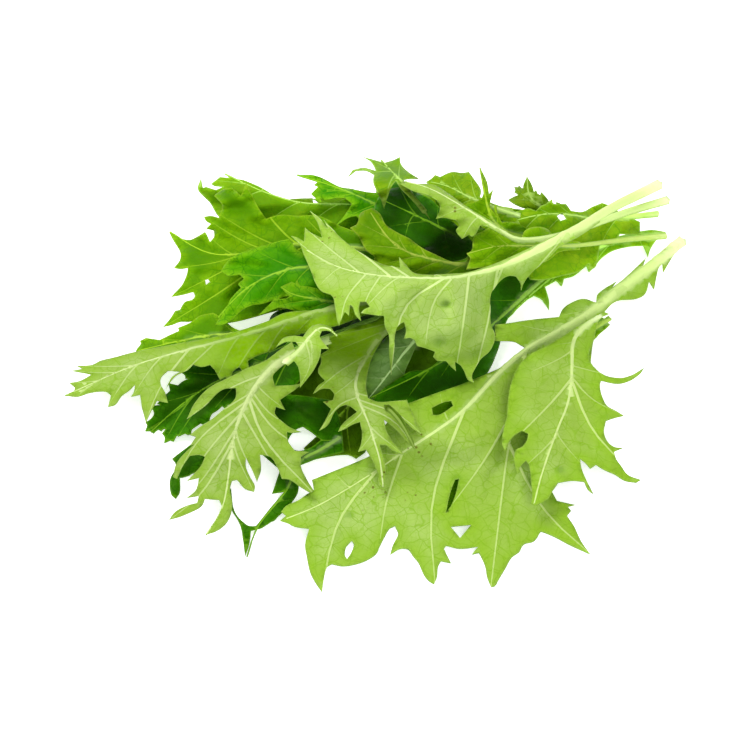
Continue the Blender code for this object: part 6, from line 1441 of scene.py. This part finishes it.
        edge=((600, 222), (580, 236), (560, 247), (550, 257), (537, 268), (529, 276), (524, 283),
              (521, 291), (520, 283), (516, 277), (510, 276), (503, 279), (497, 285), (491, 294),
              (490, 310), (491, 325), (495, 335), (494, 343), (489, 352), (481, 359), (475, 369),
              (472, 376), (474, 383), (468, 380), (464, 371), (460, 365), (455, 362), (456, 371),
              (450, 366), (446, 361), (437, 361), (433, 357), (435, 352), (427, 349), (417, 346),
              (414, 340), (410, 338), (404, 339), (406, 331), (404, 322), (398, 326), (395, 335),
              (394, 352), (391, 375), (389, 352), (389, 336), (385, 327), (384, 316), (372, 315),
              (361, 313), (365, 309), (370, 307), (366, 302), (360, 302), (359, 310), (361, 321),
              (356, 316), (352, 306), (350, 305), (349, 316), (345, 312), (341, 320), (339, 326),
              (337, 320), (335, 307), (332, 296), (321, 291), (315, 282), (312, 274), (307, 262),
              (303, 253), (300, 245), (291, 236), (298, 238), (304, 242), (305, 228), (311, 233),
              (322, 238), (318, 224), (310, 211), (320, 219), (328, 229), (324, 220), (334, 231),
              (342, 239), (352, 247), (367, 257), (384, 265), (400, 268), (399, 257), (406, 265),
              (414, 273), (430, 275), (450, 274), (465, 273), (480, 269), (497, 263), (530, 248),
              (560, 233), (600, 212))),
]


class LeafSizes(bpy.types.PropertyGroup):
    """Sizes that all leaves share."""

    cell: FloatProperty(name="Mesh step", description="Distance between a blade's points, in millimetres",
                        default=1.6, min=0.8, max=6.0)
    blade: FloatProperty(name="Blade thickness", description="Thickness of a blade, in millimetres",
                         default=0.42, min=0.2, max=0.8)
    vein: FloatProperty(name="Vein relief", description="How strongly the veins stand proud of the blade",
                        default=1.0, min=0.0, max=1.5)
    frill: FloatProperty(name="Frill", description="Height of the waves along the margins, in millimetres",
                         default=0.6, min=0.0, max=3.0)
    pucker: FloatProperty(name="Pucker", description="Depth of the blade between its veins, in millimetres",
                          default=0.55, min=0.0, max=1.0)


class LeafLooks(bpy.types.PropertyGroup):
    """Finish that all leaves share."""

    net: FloatProperty(name="Vein net", description="How clearly the net of fine veins shows",
                       default=0.68, min=0.0, max=1.0, subtype="FACTOR")
    stalk_paleness: FloatProperty(name="Stalk paleness", description="How much paler the stalk is",
                                  default=0.95, min=0.0, max=1.0, subtype="FACTOR")
    bump: FloatProperty(name="Surface relief", description="Strength of the fine relief",
                        default=0.35, min=0.0, max=1.0, subtype="FACTOR")
    roughness: FloatProperty(name="Roughness", description="Roughness of the leaf skin",
                             default=0.4, min=0.0, max=1.0, subtype="FACTOR")
    gloss: FloatProperty(name="Gloss", description="How strongly the leaf skin reflects",
                         default=0.09, min=0.0, max=1.0, subtype="FACTOR")


class StageSizes(bpy.types.PropertyGroup):
    """Camera, light and floor."""

    lens: FloatProperty(name="Lens", description="Focal length of the camera", default=85.0, unit="CAMERA")
    floor_side: FloatProperty(name="Floor side", description="Side of the floor", default=6.0, unit="LENGTH")
    floor_colour: FloatVectorProperty(name="Floor colour", description="Colour of the floor", size=4, min=0.0,
                                      max=1.0, default=(0.93, 0.93, 0.93, 1.0), subtype="COLOR")
    floor_glow: FloatProperty(name="Floor glow", description="Light of the floor, which softens shadows",
                              default=0.6, min=0.0, max=2.0)
    key_power: FloatProperty(name="Key light", description="Power of the key light",
                             default=13.0, unit="POWER")
    fill_power: FloatProperty(name="Fill light", description="Power of the fill light",
                              default=9.0, unit="POWER")
    sky: FloatProperty(name="Sky", description="Strength of the even light from all round",
                       default=0.72, min=0.0)


class BuildLeaves:
    """Shared by the operators that each build one layer of the heap."""

    bl_options = {"REGISTER", "UNDO"}
    first = 0
    last = 0
    heap = []

    def execute(self, context):
        if self.first == 0:
            BuildLeaves.heap = [HeightMap()]
        for leaf in LEAVES[self.first:self.last]:
            build_leaf(leaf, BuildLeaves.heap[0], context.scene.mizuna_sizes)
        return {"FINISHED"}


class MIZUNA_OT_table_leaves(BuildLeaves, bpy.types.Operator):
    """Build the leaves that lie on the table"""

    bl_idname = "mizuna.table_leaves"
    bl_label = "Table leaves"
    first, last = 0, 11


class MIZUNA_OT_back_leaves(BuildLeaves, bpy.types.Operator):
    """Build the leaves at the back of the heap"""

    bl_idname = "mizuna.back_leaves"
    bl_label = "Back leaves"
    first, last = 11, 25


class MIZUNA_OT_top_leaves(BuildLeaves, bpy.types.Operator):
    """Build the pale leaves on top of the heap"""

    bl_idname = "mizuna.top_leaves"
    bl_label = "Top leaves"
    first, last = 25, 33


def area_light(name, place, width, power):
    """A round soft light that points at the heap."""
    data = bpy.data.lights.new(name, "AREA")
    data.shape = "DISK"
    data.size = width
    data.energy = power
    light = bpy.data.objects.new(name, data)
    light.location = place
    light.rotation_euler = (Vector(LIGHT_TARGET) - Vector(place)).to_track_quat("-Z", "Y").to_euler()
    bpy.context.scene.collection.objects.link(light)


class MIZUNA_OT_stage(bpy.types.Operator):
    """Lay the pale floor and set up the light and the camera"""

    bl_idname = "mizuna.stage"
    bl_label = "Stage"
    bl_options = {"REGISTER", "UNDO"}

    def execute(self, context):
        stage = context.scene.mizuna_stage
        bpy.ops.object.select_all(action="DESELECT")
        bpy.ops.mesh.primitive_plane_add(size=stage.floor_side, location=(0.0, 0.0, -FLOOR_DROP))
        floor = context.object
        floor.name = "floor"
        bpy.ops.object.transform_apply(location=True, rotation=True, scale=True)
        matt = plain_material("floor_matt", tuple(stage.floor_colour), FLOOR_ROUGHNESS, stage.floor_glow)
        floor.data.materials.append(matt)
        area_light("key_light", KEY_PLACE, KEY_WIDTH, stage.key_power)
        area_light("fill_light", FILL_PLACE, FILL_WIDTH, stage.fill_power)
        world = bpy.data.worlds.new("even_sky")
        world.use_nodes = True
        background = world.node_tree.nodes["Background"]
        background.inputs["Color"].default_value = (1.0, 1.0, 1.0, 1.0)
        background.inputs["Strength"].default_value = stage.sky
        context.scene.world = world
        context.scene.view_settings.view_transform = "Standard"
        data = bpy.data.cameras.new("camera")
        data.lens = stage.lens
        data.sensor_width = SENSOR_WIDTH
        camera = bpy.data.objects.new("camera", data)
        camera.location = Vector((EYE - BOX_MIDDLE) * MM)
        target = Vector(-BOX_MIDDLE * MM)
        camera.rotation_euler = (target - camera.location).to_track_quat("-Z", "Y").to_euler()
        context.scene.collection.objects.link(camera)
        context.scene.camera = camera
        return {"FINISHED"}


class MIZUNA_PT_panel(bpy.types.Panel):
    """Lists the building steps and their settings"""

    bl_idname = "MIZUNA_PT_panel"
    bl_label = "Mizuna bunch"
    bl_space_type = "VIEW_3D"
    bl_region_type = "UI"
    bl_category = "Mizuna"

    def draw(self, context):
        for step in STEPS:
            self.layout.operator(step.bl_idname)
        for name, kind in GROUPS.items():
            box = self.layout.box()
            for setting in kind.__annotations__:
                box.prop(getattr(context.scene, name), setting)


STEPS = (MIZUNA_OT_table_leaves, MIZUNA_OT_back_leaves, MIZUNA_OT_top_leaves, MIZUNA_OT_stage)
GROUPS = {"mizuna_sizes": LeafSizes, "mizuna_looks": LeafLooks, "mizuna_stage": StageSizes}


def register():
    for kind in (*GROUPS.values(), *STEPS, MIZUNA_PT_panel):
        bpy.utils.register_class(kind)
    for name, kind in GROUPS.items():
        setattr(bpy.types.Scene, name, PointerProperty(type=kind))


def unregister():
    for name in GROUPS:
        delattr(bpy.types.Scene, name)
    for kind in (MIZUNA_PT_panel, *reversed(STEPS), *reversed(tuple(GROUPS.values()))):
        bpy.utils.unregister_class(kind)


def main():
    register()
    bpy.ops.mizuna.table_leaves()
    bpy.ops.mizuna.back_leaves()
    bpy.ops.mizuna.top_leaves()
    bpy.ops.mizuna.stage()


if __name__ == "__main__":
    main()
